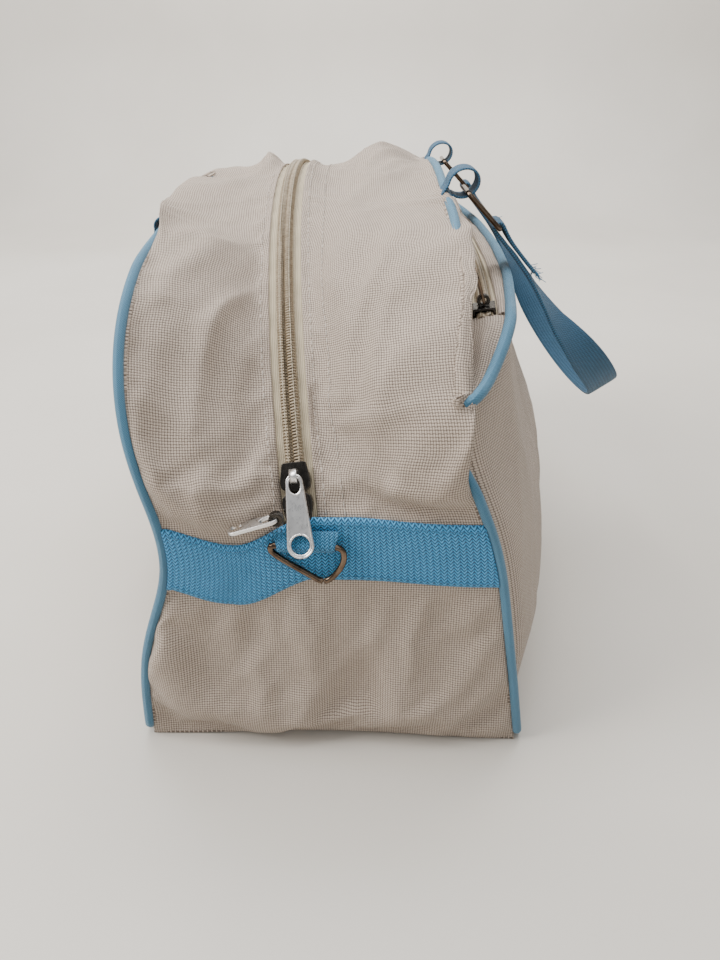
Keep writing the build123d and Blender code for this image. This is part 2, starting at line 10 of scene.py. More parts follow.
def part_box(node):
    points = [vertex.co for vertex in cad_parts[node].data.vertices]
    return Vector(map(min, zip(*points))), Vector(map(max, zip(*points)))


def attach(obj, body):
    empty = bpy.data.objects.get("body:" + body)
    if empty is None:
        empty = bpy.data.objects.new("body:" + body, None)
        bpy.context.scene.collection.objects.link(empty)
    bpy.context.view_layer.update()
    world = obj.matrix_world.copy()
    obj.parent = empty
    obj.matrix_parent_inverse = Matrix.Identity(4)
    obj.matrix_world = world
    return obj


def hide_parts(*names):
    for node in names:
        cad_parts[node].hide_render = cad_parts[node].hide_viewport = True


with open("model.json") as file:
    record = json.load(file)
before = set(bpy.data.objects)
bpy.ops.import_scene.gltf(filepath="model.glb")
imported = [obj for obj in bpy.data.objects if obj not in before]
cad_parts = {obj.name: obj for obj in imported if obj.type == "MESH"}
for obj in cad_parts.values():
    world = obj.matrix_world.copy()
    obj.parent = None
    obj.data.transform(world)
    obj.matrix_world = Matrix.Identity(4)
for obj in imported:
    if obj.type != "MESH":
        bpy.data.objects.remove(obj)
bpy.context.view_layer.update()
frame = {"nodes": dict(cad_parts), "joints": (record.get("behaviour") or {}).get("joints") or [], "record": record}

# Small soft travel bag. Metres, in the CAD frame: +X runs along the bag, the front with
# the pocket faces -Y and the zip sliders rest at the -X end, which faces the camera.

# ------------------------------------------------------------------ sizes
CLOTH = 0.0012  # skin with its lining
SHOULDER = 0.085  # radius of the panels' upper corners
CROWN_RADIUS = 0.5  # of the flatter arc between them
ZIP_SLOT = 0.015  # between the two folded cloth edges
SKIN_STEP = 0.0030  # spacing of the cloth's grid
BELT_THICK = 0.0017
BELT_RIGHT_LIFT = 0.0065  # the belt sits higher at the front
BELT_LEFT_SAG = 0.0070  # and sags towards the back
PIPE_RADIUS = 0.0021
COIL_PITCH = 0.00125
COIL_WIRE = 0.00040  # radius
COIL_GAP = 0.0006  # from the zip's middle line to each coil
RING_POINT = 0.45  # the triangle's point hangs to one side
STRAP_WIDTH = 0.018
STRAP_THICK = 0.0019
TAB_THICK = 0.00125
RING_TAB_THICK = 0.0012
LEG_LENGTH = 0.057  # straight part of a handle, from its ring's bar to its bow
FOLD_LENGTH = 0.034  # of the strap, doubled round the ring
BAR_WRAP = 0.0023  # radius of the strap round the bar
THREAD_RADIUS = 0.00017  # of the loose threads
STITCH_PITCH = 0.0034
STITCH_LENGTH = 0.0025
STITCH_RADIUS = 0.00024
TAPE_STITCH_PITCH = 0.0026
RING_WIRE = 0.00128  # radius
SLIDER_WIDE = 0.0120
SLIDER_LONG = 0.0114
SLIDER_LEVELS = (-0.00375, -0.00235, 0.00165, 0.00305)  # its two plates, over the cloth's face
SLIDER_LOOP = (0.0029, 0.0013, 0.0028)  # radius, hole and width
PULL_LEAN = math.radians(30)  # of the main puller, off the cloth
SIDE_DROP = math.radians(18)  # of the second puller, below level
PLATE_BEVEL = 0.00022
SHARP_EDGE = math.radians(50)
WAIST_PULL = 0.0155  # how far the belt draws the back seam in at the bag's ends
WAIST_ABOVE = 0.048  # reach of that pull over the belt, and under it
WAIST_BELOW = 0.040
NECK_PULL = 0.0105  # how far the front seam is drawn in above the belt
NECK_HEIGHT = 0.152
NECK_ABOVE = 0.110  # reach of that pull up and down
NECK_BELOW = 0.036
POCKET_DEPTH = 0.0270  # of its flat cut, in the middle
POCKET_END_DEPTH = 0.0085  # and at its ends
POCKET_SWELL = 0.0155  # how far the filled-out pocket stands past that
SIM_SCALE = 10.0  # cloth is simulated larger than life, where the solver is steady
SIM_FRAMES = 30
INSIDE = np.array([0, 0, 0.1])  # a place inside the bag, which outer faces look away from
ALONG = np.array([1.0, 0, 0])
UP = np.array([0, 0, 1.0])

low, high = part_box("lower_gusset")
front_low, front_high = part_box("front_panel")
back_low, back_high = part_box("back_panel")
belt_low, belt_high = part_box("near_belt")
END = high.x
BASE = -front_low.y
BELT_TOP = belt_high.z
BELT_LOW = belt_low.z
BELT_HEIGHT = BELT_TOP - BELT_LOW
BELT_MIDDLE = (BELT_TOP + BELT_LOW) / 2
FRONT_SLOPE = (front_high.y + BASE - CLOTH) / front_high.z
BACK_SLOPE = (BASE - back_low.y - CLOTH) / back_high.z


def joint_line(name):
    """A joint's point and direction."""
    joint = next(j for j in frame["joints"] if j["name"] == name)
    return np.array(joint["pos_m"], float), np.array(joint["axis"], float)


zip_centre, zip_across = joint_line("main_zip_travel")
zip_up = np.cross(ALONG, zip_across)
coil_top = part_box("main_coil_front")[1].z
COIL_HEIGHT = 0.0025
ZIP_RADIUS = (coil_top - zip_centre[2]) / zip_up[2] - COIL_HEIGHT + CLOTH
ZIP_END = math.asin(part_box("main_tape_front")[1].x / (ZIP_RADIUS - CLOTH))


def unit(a):
    """Vectors scaled to length one."""
    return a / np.maximum(np.linalg.norm(a, axis=-1, keepdims=True), 1e-12)


def smooth(x, start, end):
    """Rises smoothly from 0 at start to 1 at end."""
    t = np.clip((np.asarray(x, float) - start) / (end - start), 0, 1)
    return t * t * (3 - 2 * t)


def hump(x, power=1.0):
    """Rises from 0 at 0 to 1 half-way, and falls back to 0 at 1."""
    return np.sin(np.clip(x, 0, 1) * math.pi) ** power


def bell(x, middle, spread):
    """1 in the middle, falling off smoothly on both sides."""
    return np.exp(-((x - middle) / spread) ** 2)


def lengths(line):
    """Distance along a line of points."""
    return np.concatenate([[0], np.cumsum(np.linalg.norm(np.diff(line, axis=0), axis=1))])


def along(line, share):
    """Points at these shares of a line's length."""
    s = lengths(line)
    at = np.asarray(share, float) * s[-1]
    return np.stack([np.interp(at, s, line[:, k]) for k in range(line.shape[1])], axis=-1)


def evenly(line, step):
    """The line with points a step apart."""
    return along(line, np.linspace(0, 1, max(2, int(round(lengths(line)[-1] / step)) + 1)))


# ------------------------------------------------------------------ outlines
def zip_point(angle, side, level):
    """Place on the zip: angle from the crown towards -X, distance to the back of the zip's
    middle line, and height over the outside of the cloth."""
    angle, side, level = np.broadcast_arrays(np.asarray(angle, float), side, level)
    radial = -np.sin(angle)[..., None] * ALONG + np.cos(angle)[..., None] * zip_up
    return zip_centre + radial * (ZIP_RADIUS + level)[..., None] + side[..., None] * zip_across


def panel_y(side, z):
    """Depth of the front (-1) or back (1) seam's plane at a height."""
    return -BASE + FRONT_SLOPE * z if side < 0 else BASE - BACK_SLOPE * z


def seam_line(side):
    """Near half of a seam, from the base to the crown."""
    slope, top = (FRONT_SLOPE, front_high.z) if side < 0 else (BACK_SLOPE, back_high.z)
    lean = 1 / math.hypot(1, slope)
    crown = top / lean
    centre_x, centre_v = END - SHOULDER, crown - CROWN_RADIUS
    turn = math.asin(centre_x / (CROWN_RADIUS - SHOULDER))
    shoulder_v = centre_v + (CROWN_RADIUS - SHOULDER) * math.cos(turn)
    rise = np.linspace(0, shoulder_v, 60)
    corner = np.linspace(math.pi / 2, turn, 50)[1:]
    arch = np.linspace(turn, 0, 50)[1:]
    x = np.concatenate([
        np.full(60, -END), -centre_x - SHOULDER * np.sin(corner), -CROWN_RADIUS * np.sin(arch)
    ])
    v = np.concatenate([
        rise, shoulder_v + SHOULDER * np.cos(corner), centre_v + CROWN_RADIUS * np.cos(arch)
    ])
    z = v * lean
    return np.stack([x, panel_y(side, z), z], axis=1)


def both_halves(line):
    """A near half followed by its mirror image."""
    return np.concatenate([line, line[-2::-1] * np.array([-1, 1, 1])])


def drawn_in(points):
    """Towards the bag's two ends, the belt draws the back seam in, and the front seam is drawn
    in above the belt."""
    points = np.array(points, float)
    x, y, z = np.abs(points[..., 0]), points[..., 1], points[..., 2]
    spread = np.where(z > BELT_MIDDLE, WAIST_ABOVE, WAIST_BELOW)
    pull = WAIST_PULL * bell(z, BELT_MIDDLE, spread)
    points[..., 1] -= pull * smooth(x, END * 0.45, END) * smooth(y, 0.012, BASE)
    spread = np.where(z > NECK_HEIGHT, NECK_ABOVE, NECK_BELOW)
    pull = NECK_PULL * bell(z, NECK_HEIGHT, spread)
    points[..., 1] += pull * smooth(x, END - 0.042, END - 0.004) * smooth(-y, 0.004, 0.045)
    return points


seams = {side: seam_line(side) for side in (-1, 1)}


def above(line, z):
    """The part of a near half above a height."""
    keep = line[line[:, 2] > z]
    first = np.array([np.interp(z, line[:, 2], line[:, k]) for k in range(3)])
    return np.concatenate([[first], keep])


# ------------------------------------------------------------------ meshes
def mesh_object(name, points, faces, uv=None):
    """Mesh object from points, faces and one (u, v) pair for each point."""
    mesh = bpy.data.meshes.new(name)
    mesh.from_pydata([tuple(p) for p in points], [], [tuple(f) for f in faces])
    if uv is not None:
        layer = mesh.uv_layers.new(name="cloth")
        loops = np.zeros(len(mesh.loops), np.int32)
        mesh.loops.foreach_get("vertex_index", loops)
        layer.data.foreach_set("uv", np.asarray(uv, np.float32)[loops].ravel())
    shade_smooth(mesh)
    mesh.update()
    obj = bpy.data.objects.new(name, mesh)
    bpy.context.scene.collection.objects.link(obj)
    return obj


def grid_faces(rows, columns, wrap=False):
    """Quads over a grid of points, its columns closed round if wrap is set."""
    last = columns if wrap else columns - 1
    i, j = np.meshgrid(np.arange(rows - 1), np.arange(last), indexing="ij")
    k = (j + 1) % columns
    quads = np.stack([i * columns + j, i * columns + k, (i + 1) * columns + k, (i + 1) * columns + j], -1)
    return quads.reshape(-1, 4)


def grid_uv(grid):
    """Distances along and across a grid, in metres."""
    middle = grid[:, grid.shape[1] // 2]
    u = np.broadcast_to(lengths(middle)[:, None], grid.shape[:2])
    steps = np.linalg.norm(np.diff(grid, axis=1), axis=2)
    v = np.concatenate([np.zeros((len(grid), 1)), np.cumsum(steps, axis=1)], axis=1)
    return np.stack([u, v - v[:, -1:] / 2], axis=-1)


def normals(grid):
    """Unit normals of a grid of points."""
    return unit(np.cross(np.gradient(grid, axis=1), np.gradient(grid, axis=0)))


def outer_normals(grid):
    """Unit normals of a grid, turned to point out of the bag."""
    out = normals(grid)
    return out * np.sign(((grid - INSIDE) * out).sum(-1, keepdims=True))


def shade_smooth(mesh):
    """Marks every face of a mesh as part of a curved surface."""
    mesh.polygons.foreach_set("use_smooth", [True] * len(mesh.polygons))


def finish_piece(obj, material, body, nodes=()):
    """Gives a piece its finish and puts it on its body."""
    obj.data.materials.clear()
    obj.data.materials.append(material)
    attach(obj, body)
    if nodes:
        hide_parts(*nodes)
    return obj


def applied(obj):
    """The object with its modifiers made part of its mesh."""
    graph = bpy.context.evaluated_depsgraph_get()
    mesh = bpy.data.meshes.new_from_object(obj.evaluated_get(graph))
    obj.modifiers.clear()
    old, obj.data = obj.data, mesh
    bpy.data.meshes.remove(old)
    return obj


def skin(name, grid, uv, outward, thickness=CLOTH, levels=1):
    """Cloth piece over a grid: its outside lies on the grid and its thickness goes inward."""
    rows, columns = grid.shape[:2]
    faces = grid_faces(rows, columns)
    if (normals(grid) * outward).sum(-1).mean() < 0:
        faces = faces[:, ::-1]
    obj = mesh_object(name, grid.reshape(-1, 3), faces, uv.reshape(-1, 2))
    if levels:
        sub = obj.modifiers.new("subdivision", "SUBSURF")
        sub.levels = sub.render_levels = levels
    solid = obj.modifiers.new("thickness", "SOLIDIFY")
    solid.thickness = thickness
    solid.offset = -1
    return applied(obj)


def cloth_piece(name, grid, uv, outward, node, levels=1):
    """Piece of the bag's cloth, in place of a CAD node."""
    obj = skin(name, grid, uv, outward, levels=levels)
    return finish_piece(obj, cloth, "bag", [node])


def settle(name, grid, held, growth, cap, bend):
    """Simulates slack cloth over a grid of points that is held where held is 1, and returns
    where it comes to rest. Its cut is larger than its frame by growth, its stiffness is bend,
    and no point moves further than cap."""
    rows, columns = grid.shape[:2]
    obj = mesh_object(name, grid.reshape(-1, 3) * SIM_SCALE, grid_faces(rows, columns))
    group = obj.vertex_groups.new(name="held")
    for index, weight in enumerate(held.ravel()):
        group.add([index], float(weight), "REPLACE")
    cloth = obj.modifiers.new("cloth", "CLOTH")
    s = cloth.settings
    s.quality = 6
    s.mass = 0.4
    s.air_damping = 4.0
    s.tension_stiffness = s.compression_stiffness = 25
    s.shear_stiffness = 12
    s.bending_stiffness = bend
    s.vertex_group_mass = "held"
    s.shrink_min = s.shrink_max = -growth
    s.effector_weights.gravity = 0.5
    cloth.point_cache.frame_start, cloth.point_cache.frame_end = 1, SIM_FRAMES
    cloth.collision_settings.use_collision = False
    for number in range(1, SIM_FRAMES + 1):
        bpy.context.scene.frame_set(number)
    graph = bpy.context.evaluated_depsgraph_get()
    mesh = obj.evaluated_get(graph).data
    found = np.zeros(rows * columns * 3)
    mesh.vertices.foreach_get("co", found)
    bpy.data.objects.remove(obj)
    bpy.context.scene.frame_set(1)
    move = found.reshape(rows, columns, 3) / SIM_SCALE - grid
    size = np.linalg.norm(move, axis=2, keepdims=True)
    return grid + move * (cap * np.tanh(size / cap) / np.maximum(size, 1e-9))


def tube(name, line, radius, sides):
    """Round tube along a line, with distance along and round it as (u, v)."""
    line = np.asarray(line, float)
    closed_gap = np.linalg.norm(line[0] - line[-1]) < 1e-6
    tangent = unit(np.gradient(line, axis=0))
    if closed_gap:
        tangent[0] = tangent[-1] = unit(line[1] - line[-2])
    reference = unit(np.cross(tangent, np.array([0.0, 1.0, 0.02])))
    other = np.cross(tangent, reference)
    angle = np.linspace(0, 2 * math.pi, sides + 1)
    ring = reference[:, None] * np.cos(angle)[None, :, None] + other[:, None] * np.sin(angle)[None, :, None]
    size = np.broadcast_to(radius, (len(line),))[:, None, None]
    points = line[:, None] + ring * size
    u = np.broadcast_to(lengths(line)[:, None], points.shape[:2])
    v = np.broadcast_to((angle * np.mean(size))[None], points.shape[:2])
    return mesh_object(
        name, points.reshape(-1, 3), grid_faces(len(line), sides + 1), np.stack([u, v], -1).reshape(-1, 2)
    )


def ribbon(name, line, across, width, thick):
    """Flat webbing along a line, its width along the vectors in across."""
    line = np.asarray(line, float)
    tangent = unit(np.gradient(line, axis=0))
    across = unit(across - tangent * (across * tangent).sum(-1, keepdims=True))
    face = np.cross(tangent, across)
    count = 28
    angle = np.linspace(0, 2 * math.pi, count, endpoint=False)
    w = np.sign(np.cos(angle)) * np.abs(np.cos(angle)) ** 0.35 / 2
    t = np.sign(np.sin(angle)) * np.abs(np.sin(angle)) ** 0.45 / 2
    width = np.broadcast_to(width, (len(line),))
    w, t = w[None] * width[:, None], t[None] * thick
    points = line[:, None] + across[:, None] * w[..., None] + face[:, None] * t[..., None]
    u = np.broadcast_to(lengths(line)[:, None], points.shape[:2])
    faces = [tuple(f) for f in grid_faces(len(line), count, wrap=True)]
    faces += [tuple(range(count))[::-1], tuple(range((len(line) - 1) * count, len(line) * count))]
    return mesh_object(name, points.reshape(-1, 3), faces, np.stack([u, w], -1).reshape(-1, 2))


def many(name, shapes):
    """One object from several (points, faces) lists."""
    points, faces, start = [], [], 0
    for p, f in shapes:
        points.append(p)
        faces += [tuple(np.asarray(x) + start) for x in f]
        start += len(p)
    return mesh_object(name, np.concatenate(points), faces)


def shape_of(obj):
    """An object's points and faces. The object itself is removed."""
    points = np.array([v.co for v in obj.data.vertices])
    faces = [tuple(p.vertices) for p in obj.data.polygons]
    bpy.data.objects.remove(obj)
    return points, faces


def capsule(start, end):
    """A stitch: a short rod with rounded ends."""
    sides = 6
    axis = unit(end - start)
    side = unit(np.cross(axis, np.array([0.31, 0.52, 0.79])))
    other = np.cross(axis, side)
    angle = np.linspace(0, 2 * math.pi, sides, endpoint=False)
    ring = side * np.cos(angle)[:, None] + other * np.sin(angle)[:, None]
    rows = [(0.0, 0.35), (0.12, 0.85), (0.35, 1.0), (0.65, 1.0), (0.88, 0.85), (1.0, 0.35)]
    points = np.concatenate([start + (end - start) * t + ring * STITCH_RADIUS * r for t, r in rows])
    faces = [tuple(f) for f in grid_faces(len(rows), sides, wrap=True)]
    return points, faces + [tuple(range(sides))[::-1], tuple(range(len(points) - sides, len(points)))]


def stitches(name, line, material, pitch=STITCH_PITCH):
    """A row of stitches along a line, each a short rod with rounded ends."""
    count = int(lengths(line)[-1] / pitch)
    start = along(line, (np.arange(count) + 0.5 - STITCH_LENGTH / pitch / 2) / count)
    end = along(line, (np.arange(count) + 0.5 + STITCH_LENGTH / pitch / 2) / count)
    obj = many(name, [capsule(a, b) for a, b in zip(start, end)])
    return finish_piece(obj, material, "bag")


# ------------------------------------------------------------------ finishes
class Finish:
    """A node material, built up from its texture nodes."""

    def __init__(self, name, roughness, metallic=0.0, sheen=0.0):
        self.material = bpy.data.materials.new(name)
        self.material.use_nodes = True
        self.tree = self.material.node_tree
        self.shader = self.tree.nodes["Principled BSDF"]
        self.shader.inputs["Roughness"].default_value = roughness
        self.shader.inputs["Metallic"].default_value = metallic
        self.shader.inputs["Sheen Weight"].default_value = sheen
        self.shader.inputs["Sheen Roughness"].default_value = 0.5

    def add(self, kind, inputs=None, **settings):
        """A new shader node with these inputs and settings."""
        node = self.tree.nodes.new("ShaderNode" + kind)
        for key, value in settings.items():
            setattr(node, key, value)
        for key, value in (inputs or {}).items():
            self.join(node.inputs[key], value)
        return node

    def join(self, socket, value):
        """Links a socket to an output, or sets its value."""
        if isinstance(value, bpy.types.NodeSocket):
            self.tree.links.new(value, socket)
        else:
            socket.default_value = value

    def sum(self, operation, a, b=0.0):
        return self.add("Math", {0: a, 1: b}, operation=operation).outputs[0]

    def wave(self, value, pitch, power):
        """A ridge for each pitch of the value."""
        turn = self.sum("SINE", self.sum("MULTIPLY", value, math.pi / pitch))
        return self.sum("POWER", self.sum("ABSOLUTE", turn), power)

    def cloth_axes(self):
        """Distances along and across the cloth."""
        parts = self.add("SeparateXYZ", {0: self.add("UVMap", uv_map="cloth").outputs[0]})
        return parts.outputs[0], parts.outputs[1]

    def noise(self, scale, detail=3.0, rough=0.55, stretch=(1, 1, 1)):
        place = self.add("TexCoord").outputs["Object"]
        place = self.add("Mapping", {"Vector": place, "Scale": stretch}).outputs[0]
        found = self.add("TexNoise", {"Vector": place, "Scale": scale, "Detail": detail, "Roughness": rough})
        return found.outputs[0]

    def ramp(self, value, stops):
        node = self.add("ValToRGB", {0: value})
        elements = node.color_ramp.elements
        while len(elements) < len(stops):
            elements.new(0.5)
        for element, (place, colour) in zip(elements, stops):
            element.position = place
            element.color = (*colour, 1)
        return node.outputs[0]

    def tint(self, colour, by, low_share, high_share):
        """A colour made darker or lighter where a texture is low or high."""
        scale = self.add("MapRange", {0: by, 1: 0.25, 2: 0.75, 3: low_share, 4: high_share}).outputs[0]
        return self.add("VectorMath", {0: colour, "Scale": scale}, operation="SCALE").outputs[0]

    def finish(self, colour, height=None, depth=0.0002, strength=1.0, roughness=None):
        self.join(self.shader.inputs["Base Color"], colour)
        if roughness is not None:
            self.join(self.shader.inputs["Roughness"], roughness)
        if height is not None:
            bump = self.add("Bump", {"Height": height, "Distance": depth, "Strength": strength})
            self.join(self.shader.inputs["Normal"], bump.outputs[0])
        return self.material


def plain_weave(name, gap_shade, thread, pitch=0.00108, depth=0.00028, roughness=0.72):
    """Plain woven cloth: threads pass over and under each other in turn."""
    f = Finish(name, roughness, sheen=0.08)
    u, v = f.cloth_axes()
    square = f.add("TexChecker", {"Vector": f.add("UVMap", uv_map="cloth").outputs[0], "Scale": 1 / pitch})
    over = f.wave(u, pitch, 0.9)
    under = f.wave(v, pitch, 0.9)
    weft = f.sum("MULTIPLY", over, f.sum("ADD", f.sum("MULTIPLY", under, 0.5), 0.5))
    warp = f.sum("MULTIPLY", under, f.sum("ADD", f.sum("MULTIPLY", over, 0.5), 0.5))
    height = f.add("Mix", {0: square.outputs[1], 2: warp, 3: f.sum("MULTIPLY", weft, 0.86)}).outputs[0]
    slub = f.noise(900, 2.0)
    height = f.sum("ADD", height, f.sum("MULTIPLY", slub, 0.22))
    # painted light: the ramp's low end is painted shade in the gaps between threads, and its top, lighter than the
    # thread, is a painted highlight on the threads' crowns
    colour = f.ramp(height, [(0.26, gap_shade), (0.70, thread), (1.0, tuple(min(1, c * 1.18) for c in thread))])
    colour = f.tint(colour, f.noise(14, 4.0), 0.94, 1.04)
    colour = f.tint(colour, f.noise(260, 3.0), 0.95, 1.05)
    return f.finish(colour, height, depth, 0.85)


def ribbed_webbing(name, gap_shade, thread, column=0.0027, row=0.0016, depth=0.0005, lengthwise=False):
    """Heavy webbing: columns of slanting threads, like a row of chevrons in each column."""
    f = Finish(name, 0.66, sheen=0.06)
    u, v = f.cloth_axes()
    if lengthwise:
        u, v = v, u
    rib = f.wave(u, column, 0.45)
    share = f.sum("PINGPONG", f.sum("DIVIDE", u, column), 0.5)
    slant = f.sum("ADD", v, f.sum("MULTIPLY", share, row * 2.0))
    threads = f.wave(slant, row, 0.9)
    height = f.sum("MULTIPLY", threads, f.sum("ADD", f.sum("MULTIPLY", rib, 0.6), 0.4))
    # painted light: the ramp's low end is painted shade in the grooves between ribs and threads, and its top,
    # lighter than the thread, is a painted highlight on the rib tops
    painted_highlight = tuple(min(1, c * 1.35 + 0.02) for c in thread)
    colour = f.ramp(height, [(0.22, gap_shade), (0.60, thread), (1.0, painted_highlight)])
    colour = f.tint(colour, f.noise(60, 4.0), 0.88, 1.08)
    colour = f.tint(colour, f.noise(1300, 2.0), 0.86, 1.1)
    return f.finish(colour, height, depth, 1.0)


def fine_cord(name, gap_shade, thread, pitch=0.0007):
    """Narrow bias-cut tape over a cord."""
    f = Finish(name, 0.66, sheen=0.2)
    u, v = f.cloth_axes()
    first = f.wave(f.sum("ADD", u, v), pitch, 0.8)
    second = f.wave(f.sum("SUBTRACT", u, v), pitch, 0.8)
    height = f.sum("MULTIPLY", first, second)
    # painted light: the ramp's low end is painted shade in the hollows of the cord's weave, and its top, lighter
    # than the thread, is a painted highlight on the high points
    colour = f.ramp(height, [(0.0, gap_shade), (0.5, thread), (1.0, tuple(min(1, c * 1.2 + 0.02) for c in thread))])
    colour = f.tint(colour, f.noise(45, 4.0), 0.88, 1.1)
    return f.finish(colour, height, 0.00016, 0.8)


def tape_weave(name, gap_shade, thread, pitch=0.00075):
    """Zip tape: fine ribs along its length."""
    f = Finish(name, 0.7, sheen=0.1)
    u, v = f.cloth_axes()
    ribs = f.wave(v, pitch, 0.7)
    cross = f.wave(u, pitch * 0.8, 0.8)
    height = f.sum("MULTIPLY", ribs, f.sum("ADD", f.sum("MULTIPLY", cross, 0.45), 0.55))
    # painted light: the ramp's low end is painted shade between the tape's ribs, and its top, lighter than the
    # thread, is a painted highlight on the rib tops
    colour = f.ramp(height, [(0.05, gap_shade), (0.6, thread), (1.0, tuple(min(1, c * 1.15) for c in thread))])
    colour = f.tint(colour, f.noise(35, 3.0), 0.9, 1.08)
    return f.finish(colour, height, 0.00018, 0.8)


def moulded(name, dark, light):
    """Nylon coil."""
    f = Finish(name, 0.38)
    colour = f.ramp(f.noise(500, 3.0), [(0.3, dark), (0.7, light)])
    return f.finish(colour, f.noise(2500, 2.0), 0.00003, 0.4)


def worn_metal(name, dark, light, roughness):
    """Plated metal with fine scratches and duller patches."""
    f = Finish(name, roughness, metallic=1.0)
    patches = f.noise(160, 5.0)
    scratches = f.noise(900, 4.0, 0.7, (1, 1, 0.12))
    colour = f.ramp(patches, [(0.3, dark), (0.62, light)])
    dull_range = {0: scratches, 1: 0.3, 2: 0.7, 3: roughness * 0.75, 4: roughness * 1.35}
    dull = f.add("MapRange", dull_range).outputs[0]
    return f.finish(colour, scratches, 0.000006, 0.25, dull)


def thread_finish(name, dark, light):
    """Sewing thread, twisted."""
    f = Finish(name, 0.6, sheen=0.2)
    colour = f.ramp(f.noise(1600, 2.0), [(0.3, dark), (0.7, light)])
    return f.finish(colour, f.noise(3200, 2.0), 0.00004, 0.6)


# in each woven finish below, the first colour is the painted shade between its threads and ribs
cloth = plain_weave("greige_cloth", (0.115, 0.083, 0.060), (0.485, 0.395, 0.32))
webbing = ribbed_webbing("blue_webbing", (0.006, 0.06, 0.13), (0.045, 0.29, 0.56))
# the handles' and their tabs' blue is set much darker than the belt's webbing: painted shade, for strap faces that
# turn down and away from the light
strap_finish = ribbed_webbing("blue_strap", (0.004, 0.026, 0.05), (0.018, 0.105, 0.20),
                              column=0.0016, row=0.0012, depth=0.0003, lengthwise=True)
tab_finish = ribbed_webbing("blue_tab", (0.006, 0.05, 0.10), (0.03, 0.20, 0.38),
                            column=0.0019, row=0.0012, depth=0.0004, lengthwise=True)
piping_finish = fine_cord("blue_piping", (0.016, 0.070, 0.12), (0.065, 0.215, 0.34))
tape_finish = tape_weave("khaki_tape", (0.22, 0.17, 0.11), (0.50, 0.42, 0.29))
coil_finish = moulded("khaki_coil", (0.26, 0.20, 0.13), (0.46, 0.37, 0.26))
dark_metal = worn_metal("gunmetal", (0.07, 0.048, 0.033), (0.17, 0.12, 0.085), 0.20)
bright_metal = worn_metal("satin_nickel", (0.76, 0.745, 0.73), (0.82, 0.805, 0.79), 0.30)
black_metal = worn_metal("black_nickel", (0.020, 0.018, 0.016), (0.060, 0.054, 0.048), 0.25)
cloth_thread = thread_finish("greige_thread", (0.34, 0.28, 0.23), (0.62, 0.55, 0.48))
blue_thread = thread_finish("blue_thread", (0.015, 0.10, 0.20), (0.05, 0.24, 0.42))
tape_thread = thread_finish("khaki_thread", (0.30, 0.24, 0.16), (0.55, 0.47, 0.34))


# ------------------------------------------------------------------ cloth shell
def creases(u, v, seed, width, stretch, angle):
    """Long soft folds over a surface, between -1 and 1: width across and width * stretch
    along, running at an angle to u."""
    c, s = math.cos(angle), math.sin(angle)
    out = np.zeros(u.shape)
    for index in np.ndindex(u.shape):
        a = (u[index] * c + v[index] * s) / (width * stretch)
        b = (-u[index] * s + v[index] * c) / width
        bend = 0.6 * noise.noise(Vector((a * 1.3, b * 0.3, seed + 9.1)))
        out[index] = noise.noise(Vector((a, b + bend, seed))) * 1.7
    return np.clip(out, -1, 1)


def sharper(n):
    """Turns soft folds into narrow ridges between broad hollows."""
    return 1 - np.abs(n) ** 0.75 * 1.6


def waist(z):
    """How far the near and far ends swell: a little below the belt, tight under it and more
    above it."""
    under = hump(z / BELT_LOW) * 0.0042
    return under + 0.0075 * smooth(z, BELT_TOP - 0.002, BELT_TOP + 0.04)


def belt_height(share):
    """Height of the belt's middle line, share running from the front seam to the back."""
    lift = BELT_RIGHT_LIFT * (0.55 + 0.45 * smooth(share, 0.05, 0.40)) * (1 - smooth(share, 0.50, 0.74))
    return BELT_MIDDLE + lift - BELT_LEFT_SAG * hump((share - 0.52) / 0.46)


def end_share(y, z):
    """How far a place on an end lies from the front seam (0) to the back one (1)."""
    front, back = panel_y(-1, z), panel_y(1, z)
    return np.clip((y - front) / (back - front), 0, 1)


def above_belt(points):
    """Height of places on the near or far end over the top edge of the belt."""
    y, z = points[..., 1], points[..., 2]
    return z - belt_height(end_share(y, z)) - BELT_HEIGHT / 2


def end_wall(y, z):
    """Outward swell of an end of the bag at a place on it."""
    return waist(z) * hump(end_share(y, z), 0.75)


def lower_end(side_x, seed):
    """Grid of one end below the belt."""
    z = np.linspace(0, BELT_TOP, int(BELT_TOP / SKIN_STEP))
    share = np.linspace(0, 1, int(2 * BASE / SKIN_STEP))
    Z, S = np.meshgrid(z, share, indexing="ij")
    Y = panel_y(-1, Z) * (1 - S) + panel_y(1, Z) * S
    inside = hump(S, 0.5) * hump(Z / BELT_LOW, 0.6)
    folds = sharper(creases(Y, Z, seed, 0.020, 3.2, -0.75)) * 0.0034
    folds += creases(Y, Z, seed + 3, 0.034, 2.0, 0.9) * 0.0036
    folds += creases(Y, Z, seed + 5, 0.011, 2.6, 1.2) * 0.0010
    X = -END - end_wall(Y, Z) - folds * inside
    # the cloth by the back seam rolls out over the piping
    roll = hump((1 - S) / 0.16, 0.8) * hump((Z - 0.016) / 0.064, 0.7)
    Y = Y + 0.0070 * roll
    X = X - 0.0045 * roll
    Z = Z + 0.0035 * (1 - smooth(Z, 0, 0.03)) * hump(S, 2)
    grid = np.stack([X * -side_x, Y, Z], axis=-1)
    held = np.zeros(grid.shape[:2])
    held[0] = held[:, 0] = held[:, -1] = 1
    held[z > BELT_LOW] = 1
    return grid, held


